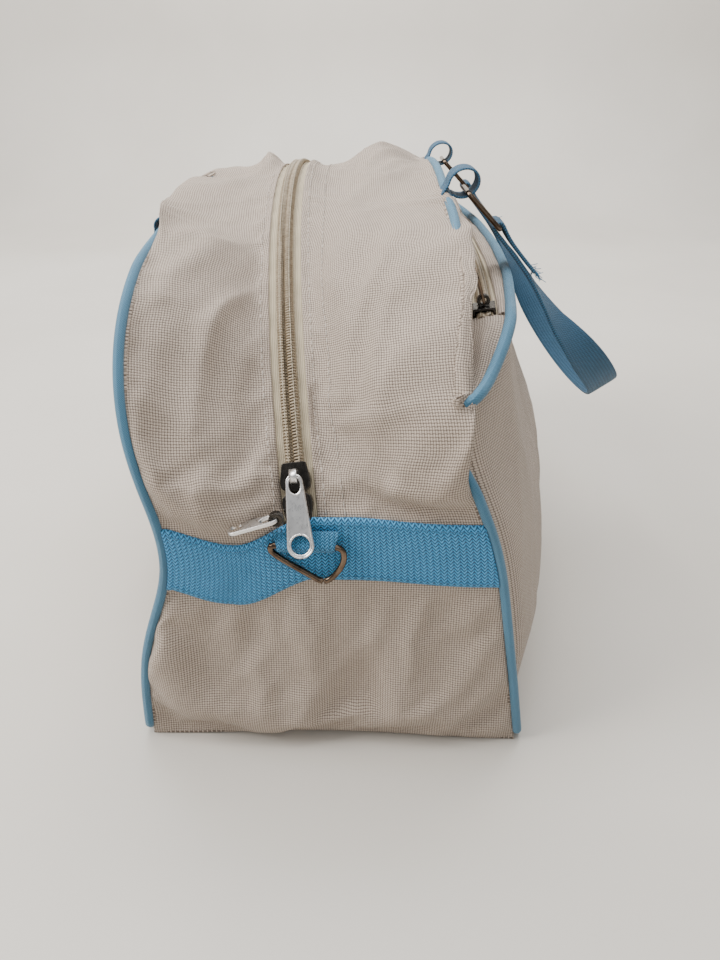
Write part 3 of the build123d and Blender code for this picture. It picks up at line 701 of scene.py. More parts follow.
def upper_half(side):
    """Grid of the gusset from the belt over the top and down to the far belt, between the
    front (-1) or back (1) seam and the zip."""
    start = BELT_TOP - 0.012
    seam = both_halves(above(seams[side], start))
    angles = np.linspace(ZIP_END, 0, 120)
    edge = zip_point(angles, side * ZIP_SLOT / 2, 0.0)
    foot = np.array([[-END, edge[0, 1] - 0.0015, start]])
    edge = both_halves(np.concatenate([foot, edge]))
    rows = int(lengths(seam)[-1] / SKIN_STEP)
    share = np.linspace(0, 1, rows)
    S, E = along(seam, share), along(edge, share)
    columns = int(np.linalg.norm(S - E, axis=1).max() / SKIN_STEP) + 1
    v = np.linspace(0, 1, columns)
    grid = S[:, None] * (1 - v)[None, :, None] + E[:, None] * v[None, :, None]
    out = outer_normals(grid)
    height = grid[..., 2]
    T = np.broadcast_to(share[:, None], grid.shape[:2])
    V = np.broadcast_to(v[None], grid.shape[:2])
    U = T * lengths(seam)[-1]
    W = V * np.linalg.norm(S - E, axis=1)[:, None]
    ends = smooth(T, 0.0, 0.07) * smooth(1 - T, 0.0, 0.07)
    swell = hump(V ** 0.8, 0.7) * ends * (0.0052 + 0.0045 * bell(height, 0.185, 0.045))
    swell *= 1 - 0.45 * smooth(height, 0.205, 0.222)
    # a peak of cloth beside the zip, towards the far end
    centre_v, tall = (0.42, 0.0140) if side < 0 else (0.74, 0.0110)
    peak = bell(grid[..., 0], 0.062, 0.042) * bell(V, centre_v, 0.24)
    swell += tall * peak * smooth(1 - V, 0.0, 0.15)
    clear = smooth(above_belt(grid), 0.0005, 0.014)
    swell = swell * (0.12 + 0.88 * clear)
    inner = hump(V, 0.6) * ends * clear
    seed = 20.0 if side < 0 else 41.0
    folds = sharper(creases(U, W, seed, 0.020, 3.8, 0.35 * side)) * 0.0028
    folds += creases(U, W, seed + 2, 0.044, 2.2, -0.5 * side) * 0.0040
    low = bell(height, BELT_TOP + 0.014, 0.016)
    folds += low * sharper(creases(U, W, seed + 4, 0.010, 3.4, 0.9)) * 0.0024
    grid = grid + out * (swell + folds * inner)[..., None]
    # the cloth rolls out over the seam at the shoulder
    ends = smooth(T, 0.0, 0.035) * smooth(1 - T, 0.0, 0.035)
    roll = hump(V / 0.32, 0.6) * ends
    if side < 0:
        roll *= smooth(height, 0.117, 0.160) * (1 - smooth(height, 0.212, 0.228))
    else:
        roll *= smooth(height, 0.203, 0.214) * 0.62
    grid[..., 1] += side * 0.0205 * roll
    grid = grid + out * (0.0040 * roll)[..., None]
    held = np.zeros(grid.shape[:2])
    held[:, 0] = held[:, -1] = 1
    held[:5] = held[-5:] = 1
    held[above_belt(grid) < 0.0015] = 1
    return grid, held, out


def hem(grid):
    """Rolls the last column of a grid under, as a folded edge does beside a zip."""
    edge = grid[:, -1]
    inward = unit(zip_centre - edge)
    over = unit(edge - grid[:, -2])
    extra = [edge + over * 0.0005 + inward * 0.0004, edge + over * 0.0004 + inward * 0.0014,
             edge - over * 0.0012 + inward * 0.0022]
    return np.concatenate([grid] + [e[:, None] for e in extra], axis=1)


shell = {}
for side, name in ((-1, "front"), (1, "back")):
    grid, held, out = upper_half(side)
    grid = settle(f"sim_{name}", drawn_in(grid), held, growth=0.036, cap=0.007, bend=0.6)
    shell[side] = grid
    full = hem(grid)
    cloth_piece(f"upper_gusset_{name}_cloth", full, grid_uv(full), full - INSIDE, f"upper_gusset_{name}")

for side_x, seed in ((-1, 3.0), (1, 13.0)):
    grid, held = lower_end(side_x, seed)
    grid = settle(f"sim_end_{side_x}", drawn_in(grid), held, growth=0.045, cap=0.006, bend=0.35)
    grid = grid + np.array([-side_x * 0.0009, 0, 0]) * smooth(grid[..., 2:], BELT_TOP - 0.02, BELT_TOP - 0.01)
    uv = np.stack([grid[..., 2], grid[..., 1]], -1)
    name = "near" if side_x < 0 else "far"
    cloth_piece(f"{name}_end_cloth", grid, uv, np.array([side_x, 0.0, 0.0]), "lower_gusset")
    shell[name] = grid

# base of the bag
x = np.linspace(-END, END, 90)
y = np.linspace(-BASE, BASE, 40)
X, Y = np.meshgrid(x, y, indexing="ij")
edge = np.minimum(np.minimum(END - np.abs(X), BASE - np.abs(Y)) / 0.03, 1)
Z = 0.0035 * (1 - smooth(END - np.abs(X), 0, 0.02)) * hump((Y / BASE + 1) / 2, 2)
Z = Z + (creases(X, Y, 77.0, 0.04, 2.0, 0.3) * 0.0006 + 0.0006) * smooth(edge, 0, 1)
grid = np.stack([X, Y, Z], -1)
cloth_piece("base_cloth", grid, np.stack([X, Y], -1), -UP, "lower_gusset", levels=0)


def half_width(line, z):
    """Half the bag's length at a height, from the near half of a seam."""
    return -np.interp(z, line[:, 2], line[:, 0])


def face_panel(side):
    """Grid of the front or back face, swelling a little between its seams."""
    line = seams[side]
    top = line[-1, 2]
    z = top * np.sin(np.linspace(0, 1, 64) * math.pi / 2)
    share = np.linspace(-1, 1, 110)
    Z, S = np.meshgrid(z, share, indexing="ij")
    X = S * half_width(line, Z)
    room = np.clip(1 - np.abs(S), 0, 1) ** 0.5 * np.clip((1 - (Z / top) ** 3), 0, 1) ** 0.7
    room *= smooth(Z, 0, 0.03)
    swell = 0.005 * room
    seed = 55.0 if side < 0 else 63.0
    swell = swell + room * sharper(creases(X, Z, seed, 0.028, 2.6, 1.1)) * 0.0022
    swell = swell + room * creases(X, Z, seed + 1, 0.05, 2.0, -0.6) * 0.0035
    Y = panel_y(side, Z) + side * swell
    return drawn_in(np.stack([X, Y, Z], -1))


for side, name in ((-1, "front"), (1, "back")):
    grid = face_panel(side)
    uv = np.stack([grid[..., 0], grid[..., 2]], -1)
    cloth_piece(f"{name}_face_cloth", grid, uv, np.array([0, float(side), 0]), f"{name}_panel")


# ------------------------------------------------------------------ front pocket
RIM_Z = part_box("pocket_zip_panel")[1].z - 0.002
POCKET_WIDE = END - 0.0035  # half its width
ZIP_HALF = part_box("pocket_tape_outer")[1].x
RIM_DROP = 0.021  # the rim falls this far towards the seams
POCKET_SLOT = 0.010
POCKET_FOOT = 0.004


def rim_z(x):
    """Height of the pocket's rim."""
    return RIM_Z - RIM_DROP * smooth(np.abs(x), ZIP_HALF - 0.002, POCKET_WIDE)


def pocket_depth(x, z):
    """How far the pocket stands out from the front face."""
    share = np.clip(np.abs(x) / POCKET_WIDE, 0, 1)
    climb = smooth(z, 0.0, 0.055)
    end = POCKET_END_DEPTH * climb
    full = (POCKET_DEPTH + POCKET_SWELL * bell(z, 0.085, 0.055)) * climb
    return end * (1 - share ** 40) ** 0.5 + (full - end) * (1 - share ** 2.1)


share = np.linspace(0, 1, 62)
across = np.sin(np.linspace(-1, 1, 130) * math.pi / 2) * POCKET_WIDE
T, X = np.meshgrid(share, across, indexing="ij")
Z = POCKET_FOOT + (rim_z(X) - POCKET_FOOT) * T
D = pocket_depth(X, Z)
room = hump(T, 0.6) * (1 - np.abs(X / POCKET_WIDE) ** 6)
folds = creases(X, Z, 91.0, 0.05, 2.2, 1.0) * 0.003 + sharper(creases(X, Z, 97.0, 0.022, 3.0, 1.3)) * 0.0016
D = D + room * folds
grid = drawn_in(np.stack([X, panel_y(-1, Z) - D, Z], -1))
cloth_piece("pocket_cloth", grid, np.stack([X, Z], -1), np.array([0, -1.0, 0]), "pocket_panel")

pocket_centre, pocket_axis = joint_line("pocket_zip_travel")
coil_low, coil_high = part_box("pocket_coil_outer")
POCKET_RADIUS = float(np.hypot(*(np.array([0, coil_low.y, coil_high.z]) - pocket_centre)[1:]) - 0.0030)


def pocket_zip_point(x, out, level):
    """Place on the pocket zip: distance along the bag, out from its middle line and above
    the top of the pocket."""
    x, out, level = np.broadcast_arrays(np.asarray(x, float), out, level)
    toward = np.cross(pocket_axis, ALONG)
    toward = toward * np.sign(-toward[1])
    radius = POCKET_RADIUS + out
    angle = np.arcsin(np.clip(x / radius, -1, 1))
    flat = np.sin(angle)[..., None] * ALONG + np.cos(angle)[..., None] * toward
    return pocket_centre + flat * radius[..., None] + level[..., None] * pocket_axis


def top_point(x, w):
    """Place on top of the pocket: w runs from the front face (0) to the rim (1)."""
    z = rim_z(x)
    depth = pocket_depth(x, z)
    drop = (1 - w) * depth * FRONT_SLOPE
    return drawn_in(np.stack([x + 0 * w, panel_y(-1, z - drop) - w * depth, z - drop], -1))


x = np.linspace(-ZIP_HALF, ZIP_HALF, 150)
outer_edge = pocket_zip_point(x, POCKET_SLOT / 2, 0.0)
inner_edge = pocket_zip_point(x, -POCKET_SLOT / 2, 0.0)
rim_line = top_point(x, np.ones(len(x)))
face_line = top_point(x, np.zeros(len(x)))
w = np.linspace(0, 1, 8)[None, :, None]
for name, first, last in (("outer", rim_line, outer_edge), ("inner", face_line, inner_edge)):
    grid = first[:, None] * (1 - w) + last[:, None] * w
    U, W = np.meshgrid(x, w.ravel(), indexing="ij")
    grid[..., 2] += hump(W) * (0.0012 + 0.0010 * creases(U, W * 0.01, 31.0, 0.014, 1.2, 1.4))
    fold = np.stack([grid[:, -1] - [0, 0, 0.0016]], axis=1)
    grid = np.concatenate([grid, fold], axis=1)
    cloth_piece(f"pocket_top_{name}", grid, grid_uv(grid), UP, "pocket_zip_panel")
for side_x in (-1, 1):
    x_end = np.linspace(ZIP_HALF - 0.0005, POCKET_WIDE + 0.003, 26)
    X, W = np.meshgrid(x_end, np.linspace(0, 1, 14), indexing="ij")
    flat = top_point(np.minimum(X, POCKET_WIDE).ravel(), W.ravel()).reshape(*X.shape, 3)
    flat[..., 0] = X
    ripple = 0.0016 + 0.0022 * creases(X, W * 0.03, 37.0 + side_x, 0.011, 1.6, 0.5)
    flat[..., 2] += hump(W) * ripple
    flat[..., 0] *= side_x
    cloth_piece(f"pocket_end_{'near' if side_x < 0 else 'far'}", flat, grid_uv(flat), UP, "pocket_panel")


# ------------------------------------------------------------------ zips
def zip_pieces(place, ends, half_slot, coil_half, coil_height, nodes, length_of):
    """Two tapes and two coils along a zip, with their stitches. place gives points on the zip
    and length_of is the length of one step of its first value."""
    for side, tape_node, coil_node in nodes:
        run = np.linspace(ends[0], ends[1], 220)
        across = np.linspace(0.0004, half_slot + 0.0009, 9)
        A, S = np.meshgrid(run, across, indexing="ij")
        lift = -CLOTH - 0.0003 + 0.0009 * smooth(S, half_slot * 0.55, half_slot * 1.1) * 0.4
        lift = lift + 0.0002 * np.sin(A * 90)
        grid = place(A, side * S, lift)
        uv = np.stack([A * length_of, S], -1)
        up = place(A, side * S, lift + 0.001) - grid
        tape = skin(tape_node + "_weave", grid, uv, up, 0.0006, 0)
        finish_piece(tape, tape_finish, "bag", [tape_node])
        turns = int(abs(ends[1] - ends[0]) * length_of / COIL_PITCH)
        phase = np.linspace(0, turns * 2 * math.pi, turns * 8)
        wide, tall = coil_half + 0.00025, coil_height / 2 - 0.0004
        start = ends[0] + (0.5 * COIL_PITCH / length_of if side > 0 else 0)
        step = (ends[1] - ends[0]) / turns / (2 * math.pi)
        skew = 0.28 * COIL_PITCH / length_of * np.sign(ends[1] - ends[0])
        run = start + step * phase + skew * np.cos(phase)
        off = side * (COIL_GAP + coil_half - 0.0003 + wide * np.cos(phase))
        line = place(run, off, -CLOTH + coil_height / 2 + tall * np.sin(phase))
        coil = tube(coil_node + "_turns", line, COIL_WIRE, 6)
        finish_piece(coil, coil_finish, "bag", [coil_node])
        run = np.linspace(ends[0], ends[1], 900)
        for number, at in enumerate((COIL_GAP + coil_half * 1.1, COIL_GAP + coil_half * 2.35)):
            level = -CLOTH + (coil_height - 0.0001 if number == 0 else 0.0002)
            seam = place(run, side * at, level)
            stitches(f"{coil_node}_stitch_{number}", seam, tape_thread, TAPE_STITCH_PITCH)


zip_pieces(zip_point, (ZIP_END, -ZIP_END), ZIP_SLOT / 2, coil_half=0.0014, coil_height=COIL_HEIGHT,
           nodes=((-1, "main_tape_front", "main_coil_front"), (1, "main_tape_back", "main_coil_back")),
           length_of=ZIP_RADIUS)
zip_pieces(pocket_zip_point, (-ZIP_HALF - 0.0010, ZIP_HALF + 0.0010), POCKET_SLOT / 2,
           coil_half=0.0012, coil_height=0.0021,
           nodes=((1, "pocket_tape_outer", "pocket_coil_outer"),
                  (-1, "pocket_tape_inner", "pocket_coil_inner")), length_of=1.0)

for side in (-1, 1):
    grid = shell[side]
    edge_distance = np.linalg.norm(np.diff(grid, axis=1), axis=2)[:, ::-1].cumsum(axis=1)
    out = outer_normals(grid)
    for number, inset in enumerate((0.0030, 0.0105)):
        if side > 0 and number == 1:
            continue
        rows = []
        for row, near, normal in zip(grid, edge_distance, out):
            reach = np.concatenate([[0], near])
            rows.append([np.interp(inset, reach, (row + normal * 0.0002)[::-1, k]) for k in range(3)])
        line = evenly(np.array(rows)[4:-4], 0.0012)
        stitches(f"top_stitch_{'front' if side < 0 else 'back'}_{number}", line, cloth_thread)


# ------------------------------------------------------------------ belts
def belt(side_x, node):
    """Webbing across one end of the bag, sewn into the two seams."""
    share = np.linspace(0, 1, 380)
    across = np.linspace(-0.5, 0.5, 24)
    S, W = np.meshgrid(share, across, indexing="ij")
    Z = belt_height(S) + W * BELT_HEIGHT
    Y = panel_y(-1, Z) * (1 - S) + panel_y(1, Z) * S
    rib = np.abs(np.sin(Y * math.pi / 0.0027)) ** 0.6 * 0.00015
    edge = np.sqrt(np.clip(1 - (np.abs(W) * 2) ** 14, 0, 1))
    wave = 0.0007 * creases(Y, Z, 5.0, 0.03, 1.5, 1.4) * hump(S)
    X = END + BELT_THICK * (0.35 + 0.65 * edge) + rib * edge + np.abs(wave) - 0.0003
    grid = drawn_in(np.stack([X * side_x, Y, Z], -1))
    uv = np.stack([Y, W * BELT_HEIGHT], -1)
    obj = skin(node + "_webbing", grid, uv, np.array([side_x, 0.0, 0.0]), BELT_THICK, 0)
    finish_piece(obj, webbing, "bag", [node])
    for place in (-0.43, 0.43):
        column = int(np.argmin(np.abs(across - place)))
        line = evenly(grid[4:-4, column] + np.array([side_x * 0.00012, 0, 0]), 0.001)
        stitches(f"{node}_stitch_{'top' if place > 0 else 'low'}", line, blue_thread)


belt(-1, "near_belt")
belt(1, "far_belt")


def rounded(points, step, times=3):
    """A line through the middle of a few points' corners."""
    line = np.asarray(points, float)
    for _ in range(times):
        low_part, high_part = line[:-1] * 0.75 + line[1:] * 0.25, line[:-1] * 0.25 + line[1:] * 0.75
        middle = np.stack([low_part, high_part], 1).reshape(-1, line.shape[1])
        line = np.concatenate([line[:1], middle, line[-1:]])
    return evenly(line, step)


def arc_points(centre, size, start, end, count=14):
    """Points round an ellipse in a plane, from angle to angle."""
    a = np.linspace(start, end, count)
    return np.stack([centre[0] + size[0] * np.cos(a), centre[1] + size[1] * np.sin(a)], 1)


for side_x, name in ((-1, "near"), (1, "far")):
    ring_line, _ = joint_line(f"{name}_end_ring_swing")
    tab_low, tab_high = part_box(f"{name}_ring_tab")
    cx, cz = abs(ring_line[0]), ring_line[2]
    loop = arc_points((cx, cz), (0.0021, 0.0021), 0.9, -math.pi - 0.3)
    flat = np.concatenate([
        [[cx - 0.0018, cz + 0.0056], [cx - 0.0006, cz + 0.0040]], loop,
        [[END + BELT_THICK + 0.0008, cz + 0.004], [END + BELT_THICK + 0.0008, cz + 0.0056]]
    ])
    line = np.stack([flat[:, 0] * side_x, np.full(len(flat), ring_line[1]), flat[:, 1]], 1)
    line = rounded(line, 0.0006, 2)
    rise = smooth(line[:, 2], cz, cz + 0.005)
    flare = 1 + 0.14 * rise
    obj = ribbon(f"{name}_ring_tab_webbing", line, np.array([0, 1.0, 0]) - rise[:, None] * [0, 0, 0.15],
                 (tab_high.y - tab_low.y) * flare, RING_TAB_THICK)
    finish_piece(obj, tab_finish, "bag", [f"{name}_ring_tab"])


# ------------------------------------------------------------------ piping
def wander(line, size, seed):
    """A line with the slight waves of a hand-guided seam."""
    s = lengths(line)
    shift = np.array([[noise.noise(Vector((d * 18, seed + k, 0))) for k in (0, 3, 6)] for d in s])
    return line + shift * size


for side, name in ((-1, "front"), (1, "back")):
    half = seams[side].copy()
    half[:, 0] += 0.0004 * np.sign(-half[:, 0])
    half = half[half[:, 2] > 0.010]
    corner = np.array([[-END + 0.0004, 0, 0.006], [-END + 0.003, 0, 0.0030], [-END + 0.008, 0, 0.0024]])
    line = both_halves(half)
    low_run = np.concatenate([corner[::-1], line, (corner * [-1, 1, 1])])
    low_run = np.concatenate([low_run, [[0, 0, 0.0024]], low_run[:1]])
    low_run[:, 1] = panel_y(side, low_run[:, 2]) + side * 0.0018
    low_run = evenly(low_run, 0.0022)
    # tucked in where the cloth rolls over it
    z = low_run[:, 2]
    from_z, to_z = (0.134, 0.214) if side < 0 else (0.208, 0.228)
    tuck = smooth(z, from_z - 0.006, from_z + 0.012) * (1 - smooth(z, to_z - 0.010, to_z + 0.004))
    inward = unit(INSIDE - low_run * [1, 0, 1])
    low_run = low_run + inward * 0.0042 * tuck[:, None] - np.array([0, side * 0.0026, 0]) * tuck[:, None]
    closed = wander(drawn_in(low_run), 0.0005, 7.0 + side)
    closed[-1] = closed[0]
    obj = tube(f"{name}_piping_cord", closed, PIPE_RADIUS, 12)
    finish_piece(obj, piping_finish, "bag", [f"{name}_piping"])

x = np.linspace(-POCKET_WIDE + 0.005, POCKET_WIDE - 0.005, 260)
line = top_point(x, np.ones(len(x)))
line += np.array([0, -0.0012, 0.0012])
into = np.array([[0.0016, 0.0020, -0.0015], [0.0026, 0.0060, -0.0036]])
line = np.concatenate([(line[0] + into * [-1, 1, 1])[::-1], line, line[-1] + into])
obj = tube("pocket_piping_cord", wander(evenly(line, 0.002), 0.0004, 17.0), PIPE_RADIUS * 1.12, 12)
finish_piece(obj, piping_finish, "bag", ["pocket_piping"])


# ------------------------------------------------------------------ handles
def handle_tab(node, side, hanging):
    """Loop of webbing sewn into the seam, which holds one ring."""
    tab_low, tab_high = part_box(node)
    middle_x = (tab_low.x + tab_high.x) / 2
    out_y = tab_high.y if side > 0 else tab_low.y
    cy, cz = out_y - side * 0.006, tab_low.z + 0.006
    if hanging:
        seam_y, seam_z = tab_low.y, tab_high.z - 0.002
        flat = np.concatenate([
            [[seam_y, seam_z + 0.001], [cy + 0.0022, cz + 0.0115]],
            arc_points((cy, cz), (0.0054, 0.0058), 1.15, -math.pi - 1.15),
            [[cy - 0.0010, cz + 0.0115], [seam_y - 0.0006, seam_z]],
        ])
    else:
        seam_y, seam_z = tab_high.y, tab_low.z + 0.004
        loop = arc_points((0, 0), (0.0071, 0.0060), -2.75, 2.75, 20)
        turn = 0.42
        loop = loop @ np.array([[math.cos(turn), math.sin(turn)], [-math.sin(turn), math.cos(turn)]])
        loop = np.stack([cy - 0.0006 + side * loop[:, 0], cz + 0.0014 + loop[:, 1]], 1)
        flat = np.concatenate([
            [[seam_y + 0.002, seam_z - 0.0035]], loop,
            [[seam_y + 0.0015, seam_z - 0.0015]],
        ])
    line = rounded(np.stack([np.full(len(flat), middle_x), flat[:, 0], flat[:, 1]], 1), 0.0007, 2)
    line[:, 0] += 0.0006 * np.sin(np.linspace(0, 5, len(line)))
    obj = ribbon(node + "_webbing", line, ALONG + 0 * line, STRAP_WIDTH * 0.97, TAB_THICK)
    finish_piece(obj, strap_finish, "bag", [node])


def frayed(name, place, across, ahead, body, seed):
    """Loose blue threads at a cut end of webbing."""
    random.seed(seed)
    shapes = []
    for _ in range(26):
        start = place + across * random.uniform(-0.5, 0.5) * STRAP_WIDTH
        drift = ahead + np.array([random.uniform(-0.6, 0.6) for _ in range(3)])
        bend = np.array([random.uniform(-0.003, 0.003) for _ in range(3)])
        t = np.linspace(0, 1, 8)[:, None]
        line = start + drift * t * random.uniform(0.0025, 0.006) + bend * t ** 2
        shapes.append(shape_of(tube("thread", line, THREAD_RADIUS, 5)))
    return finish_piece(many(name, shapes), blue_thread, body)


def handle(name, side):
    """Strap of one handle: folded round its two rings, and twisted a quarter turn between
    its legs and its bow."""
    node = f"{name}_handle"
    bar, _ = joint_line(f"{name}_handle_swing")
    strap_low, strap_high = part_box(node)
    out_y = strap_low.y if side < 0 else strap_high.y
    wide = STRAP_WIDTH / 2
    reach_z = bar[2] - strap_low.z
    reach_y = abs(out_y - bar[1])
    radius = strap_high.x - STRAP_WIDTH / 2
    lean = math.atan2(reach_y - wide * 0.80, reach_z - wide * 0.60) if side < 0 else math.radians(6)
    down = np.array([0, side * math.sin(lean), -math.cos(lean)])
    out = np.array([0, side * math.cos(lean), math.sin(lean)])
    half_turn = np.linspace(math.pi / 2, -math.pi / 2, 9)
    leg_flat = np.concatenate([
        [[0.027, 0.0030], [0.018, 0.0020], [0.008, 0.0013]],
        np.stack([-BAR_WRAP * np.cos(half_turn), BAR_WRAP * np.sin(half_turn)], 1),
        [[0.008, -0.0013], [0.018, -0.0006], [0.032, 0.0]],
    ])
    first = np.array([-radius, 0, 0]) + bar * [0, 1, 1] + leg_flat[:, :1] * down + leg_flat[:, 1:] * out
    beta = np.linspace(0, math.pi, 40)
    sway = 0.004 * np.sin(beta * 2)
    bow = (bar * [0, 1, 1] + np.array([-1.0, 0, 0]) * (radius * np.cos(beta))[:, None]
           + down * (LEG_LENGTH + radius * np.sin(beta))[:, None] + out * sway[:, None])
    line = rounded(np.concatenate([first, bow, (first * [-1, 1, 1])[::-1]]), 0.0012, 3)
    s = lengths(line)
    share = s / s[-1]
    fold = FOLD_LENGTH / s[-1]
    twist = smooth(share, fold + 0.05, fold + 0.30) * (1 - smooth(share, 1 - fold - 0.30, 1 - fold - 0.05))
    tangent = unit(np.gradient(line, axis=0))
    flat_way = np.broadcast_to(ALONG, line.shape)
    bow_way = np.broadcast_to(out, line.shape)
    across = flat_way * np.cos(twist * math.pi / 2)[:, None] + bow_way * np.sin(twist * math.pi / 2)[:, None]
    across = unit(across - tangent * (across * tangent).sum(-1, keepdims=True))
    obj = ribbon(node + "_webbing", line, across, STRAP_WIDTH, STRAP_THICK)
    finish_piece(obj, strap_finish, f"{name}_grip", [node])
    for end, index in (("near", 0), ("far", -1)):
        frayed(f"{node}_threads_{end}", line[index], ALONG, down, f"{name}_grip", 11 + index)


for side, name in ((-1, "front"), (1, "back")):
    for end in ("near", "far"):
        handle_tab(f"{name}_tab_{end}", side, side > 0)
    handle(name, side)


# ------------------------------------------------------------------ metal
def softened(obj, voxel, rounds):
    """Remeshes a piece and softens its edges."""
    remesh = obj.modifiers.new("remesh", "REMESH")
    remesh.mode, remesh.voxel_size = "VOXEL", voxel
    soft = obj.modifiers.new("soften", "SMOOTH")
    soft.factor, soft.iterations = 0.5, rounds
    return obj


def cast(node, material, voxel=None):
    """Metal piece in place of its plain CAD node, its edges softened where a voxel size is given."""
    obj = bpy.data.objects.new(node + "_metal", frame["nodes"][node].data.copy())
    bpy.context.scene.collection.objects.link(obj)
    if voxel:
        softened(obj, voxel, 4)
    applied(obj)
    shade_smooth(obj.data)
    if not voxel:
        obj.data.set_sharp_from_angle(angle=SHARP_EDGE)
    return finish_piece(obj, material, body_of_node[node], [node])


body_of_node = {n: b for b, ns in frame["record"]["behaviour"]["bodies"].items() for n in ns}
ring_line, _ = joint_line("near_end_ring_swing")
ring_low, ring_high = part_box("near_triangle_ring")
half, deep = (ring_high.y - ring_low.y) / 2 - 0.0015, ring_high.z - ring_low.z - 0.0032
corners = ((0, 0), (0.80, 0), (1.10, 0.10), (1.10, 0.50), (RING_POINT + 0.30, 0.94), (RING_POINT, 1.06),
           (RING_POINT - 0.35, 0.86), (-1.04, 0.22), (-1.06, 0), (-0.80, 0), (0, 0))
flat = rounded(np.array([(-a * half, -d * deep) for a, d in corners]), 0.0008, 3)
line = np.stack([np.full(len(flat), ring_line[0]), ring_line[1] + flat[:, 0], ring_line[2] + flat[:, 1]], 1)
line[-1] = line[0]
obj = tube("near_ring_wire", line, RING_WIRE, 14)
finish_piece(obj, dark_metal, body_of_node["near_triangle_ring"], ["near_triangle_ring"])
for node in ("far_triangle_ring", "front_ring_near", "front_ring_far",
             "back_ring_near", "back_ring_far"):
    cast(node, dark_metal)


def plate(name, outlines, thick, origin, across, down):
    """Flat plate with softened edges: its first outline is the rim and the others are holes,
    each a list of (across, down) points."""
    curve = bpy.data.curves.new(name, "CURVE")
    curve.dimensions = "2D"
    curve.fill_mode = "BOTH"
    curve.extrude = thick / 2 - PLATE_BEVEL
    curve.bevel_depth = PLATE_BEVEL
    curve.bevel_resolution = 3
    curve.offset = -PLATE_BEVEL
    for outline in outlines:
        spline = curve.splines.new("POLY")
        spline.points.add(len(outline) - 1)
        for point, (a, d) in zip(spline.points, outline):
            point.co = (a, -d, 0, 1)
        spline.use_cyclic_u = True
    obj = bpy.data.objects.new(name, curve)
    bpy.context.scene.collection.objects.link(obj)
    graph = bpy.context.evaluated_depsgraph_get()
    mesh = bpy.data.meshes.new_from_object(obj.evaluated_get(graph))
    bpy.data.objects.remove(obj)
    local = np.zeros(len(mesh.vertices) * 3)
    mesh.vertices.foreach_get("co", local)
    local = local.reshape(-1, 3)
    face = np.cross(across, -down)
    points = origin + local[:, :1] * across - local[:, 1:2] * down + local[:, 2:] * face
    faces = [tuple(p.vertices) for p in mesh.polygons]
    bpy.data.meshes.remove(mesh)
    return points, faces


def ellipse(centre, size):
    """Points round a whole ellipse."""
    return arc_points(centre, size, 0, 2 * math.pi, 41)[:-1]


def raised(line, origin, across, down, radius, lift):
    """Rounded bead along an outline of a plate, on both its faces."""
    face = np.cross(across, -down)
    shapes = []
    for sign in (-1, 1):
        path = origin + line[:, :1] * across + line[:, 1:] * down + sign * lift * face
        shapes.append(shape_of(tube("bead", np.concatenate([path, path[:1]]), radius, 8)))
    return shapes


def puller(node, origin, across, down, length, head, tip, thick=0.0012, bead=0.00045):
    """Zip puller: a long plate with an oval eye at its head, a round hole at its tip and, if
    bead is set, raised beads of that radius along its edges."""
    across, down = unit(np.array(across, float)), unit(np.array(down, float))
    turn = np.linspace(math.pi, 2 * math.pi, 15)
    top = np.stack([head * 0.92 * np.cos(turn), head * 0.9 - 0.0010 + head * 0.9 * np.sin(turn)], 1)
    turn = np.linspace(0, math.pi, 21)
    end = np.stack([tip * np.cos(turn), length - tip + tip * np.sin(turn)], 1)
    outline = np.concatenate([top, end])
    eye_centre, eye_wide, eye_tall = (0, 0.0036), head * 0.60, 0.0032
    hole_centre, hole_radius = (0, length - tip), tip * 0.72
    eye = ellipse(eye_centre, (eye_wide, eye_tall))
    hole = ellipse(hole_centre, (hole_radius, hole_radius))
    shapes = [plate(node, [outline, eye, hole], thick, origin, across, down)]
    rim = evenly(np.concatenate([outline, outline[:1]]), 0.0006)[:-1]
    inner = rim - unit(rim - np.stack([0 * rim[:, 0], np.clip(rim[:, 1], head, length - tip)], 1)) * 0.00045
    eye_rim = ellipse(eye_centre, (eye_wide + 0.0004, eye_tall + 0.0004))
    hole_rim = ellipse(hole_centre, (hole_radius + 0.0003, hole_radius + 0.0003))
    if bead:
        for line in (inner, eye_rim, hole_rim):
            shapes += raised(line, origin, across, down, bead, thick / 2 - 0.00018)
    obj = many(node + "_plate", shapes)
    obj.data.set_sharp_from_angle(angle=SHARP_EDGE)
    return finish_piece(obj, bright_metal, body_of_node[node], [node])


main_hinge, _ = joint_line("main_puller_swing")
second_hinge, _ = joint_line("second_puller_swing")
main_down = -np.array([math.sin(PULL_LEAN), 0, 0]) - math.cos(PULL_LEAN) * zip_up
second_down = (0, math.cos(SIDE_DROP), -math.sin(SIDE_DROP))
puller("main_puller", main_hinge, zip_across, main_down, length=0.032, head=0.0037, tip=0.0053)
puller("second_puller", second_hinge, (1, 0, 0), second_down, length=0.020, head=0.0035, tip=0.0035,
       thick=0.0015, bead=0)


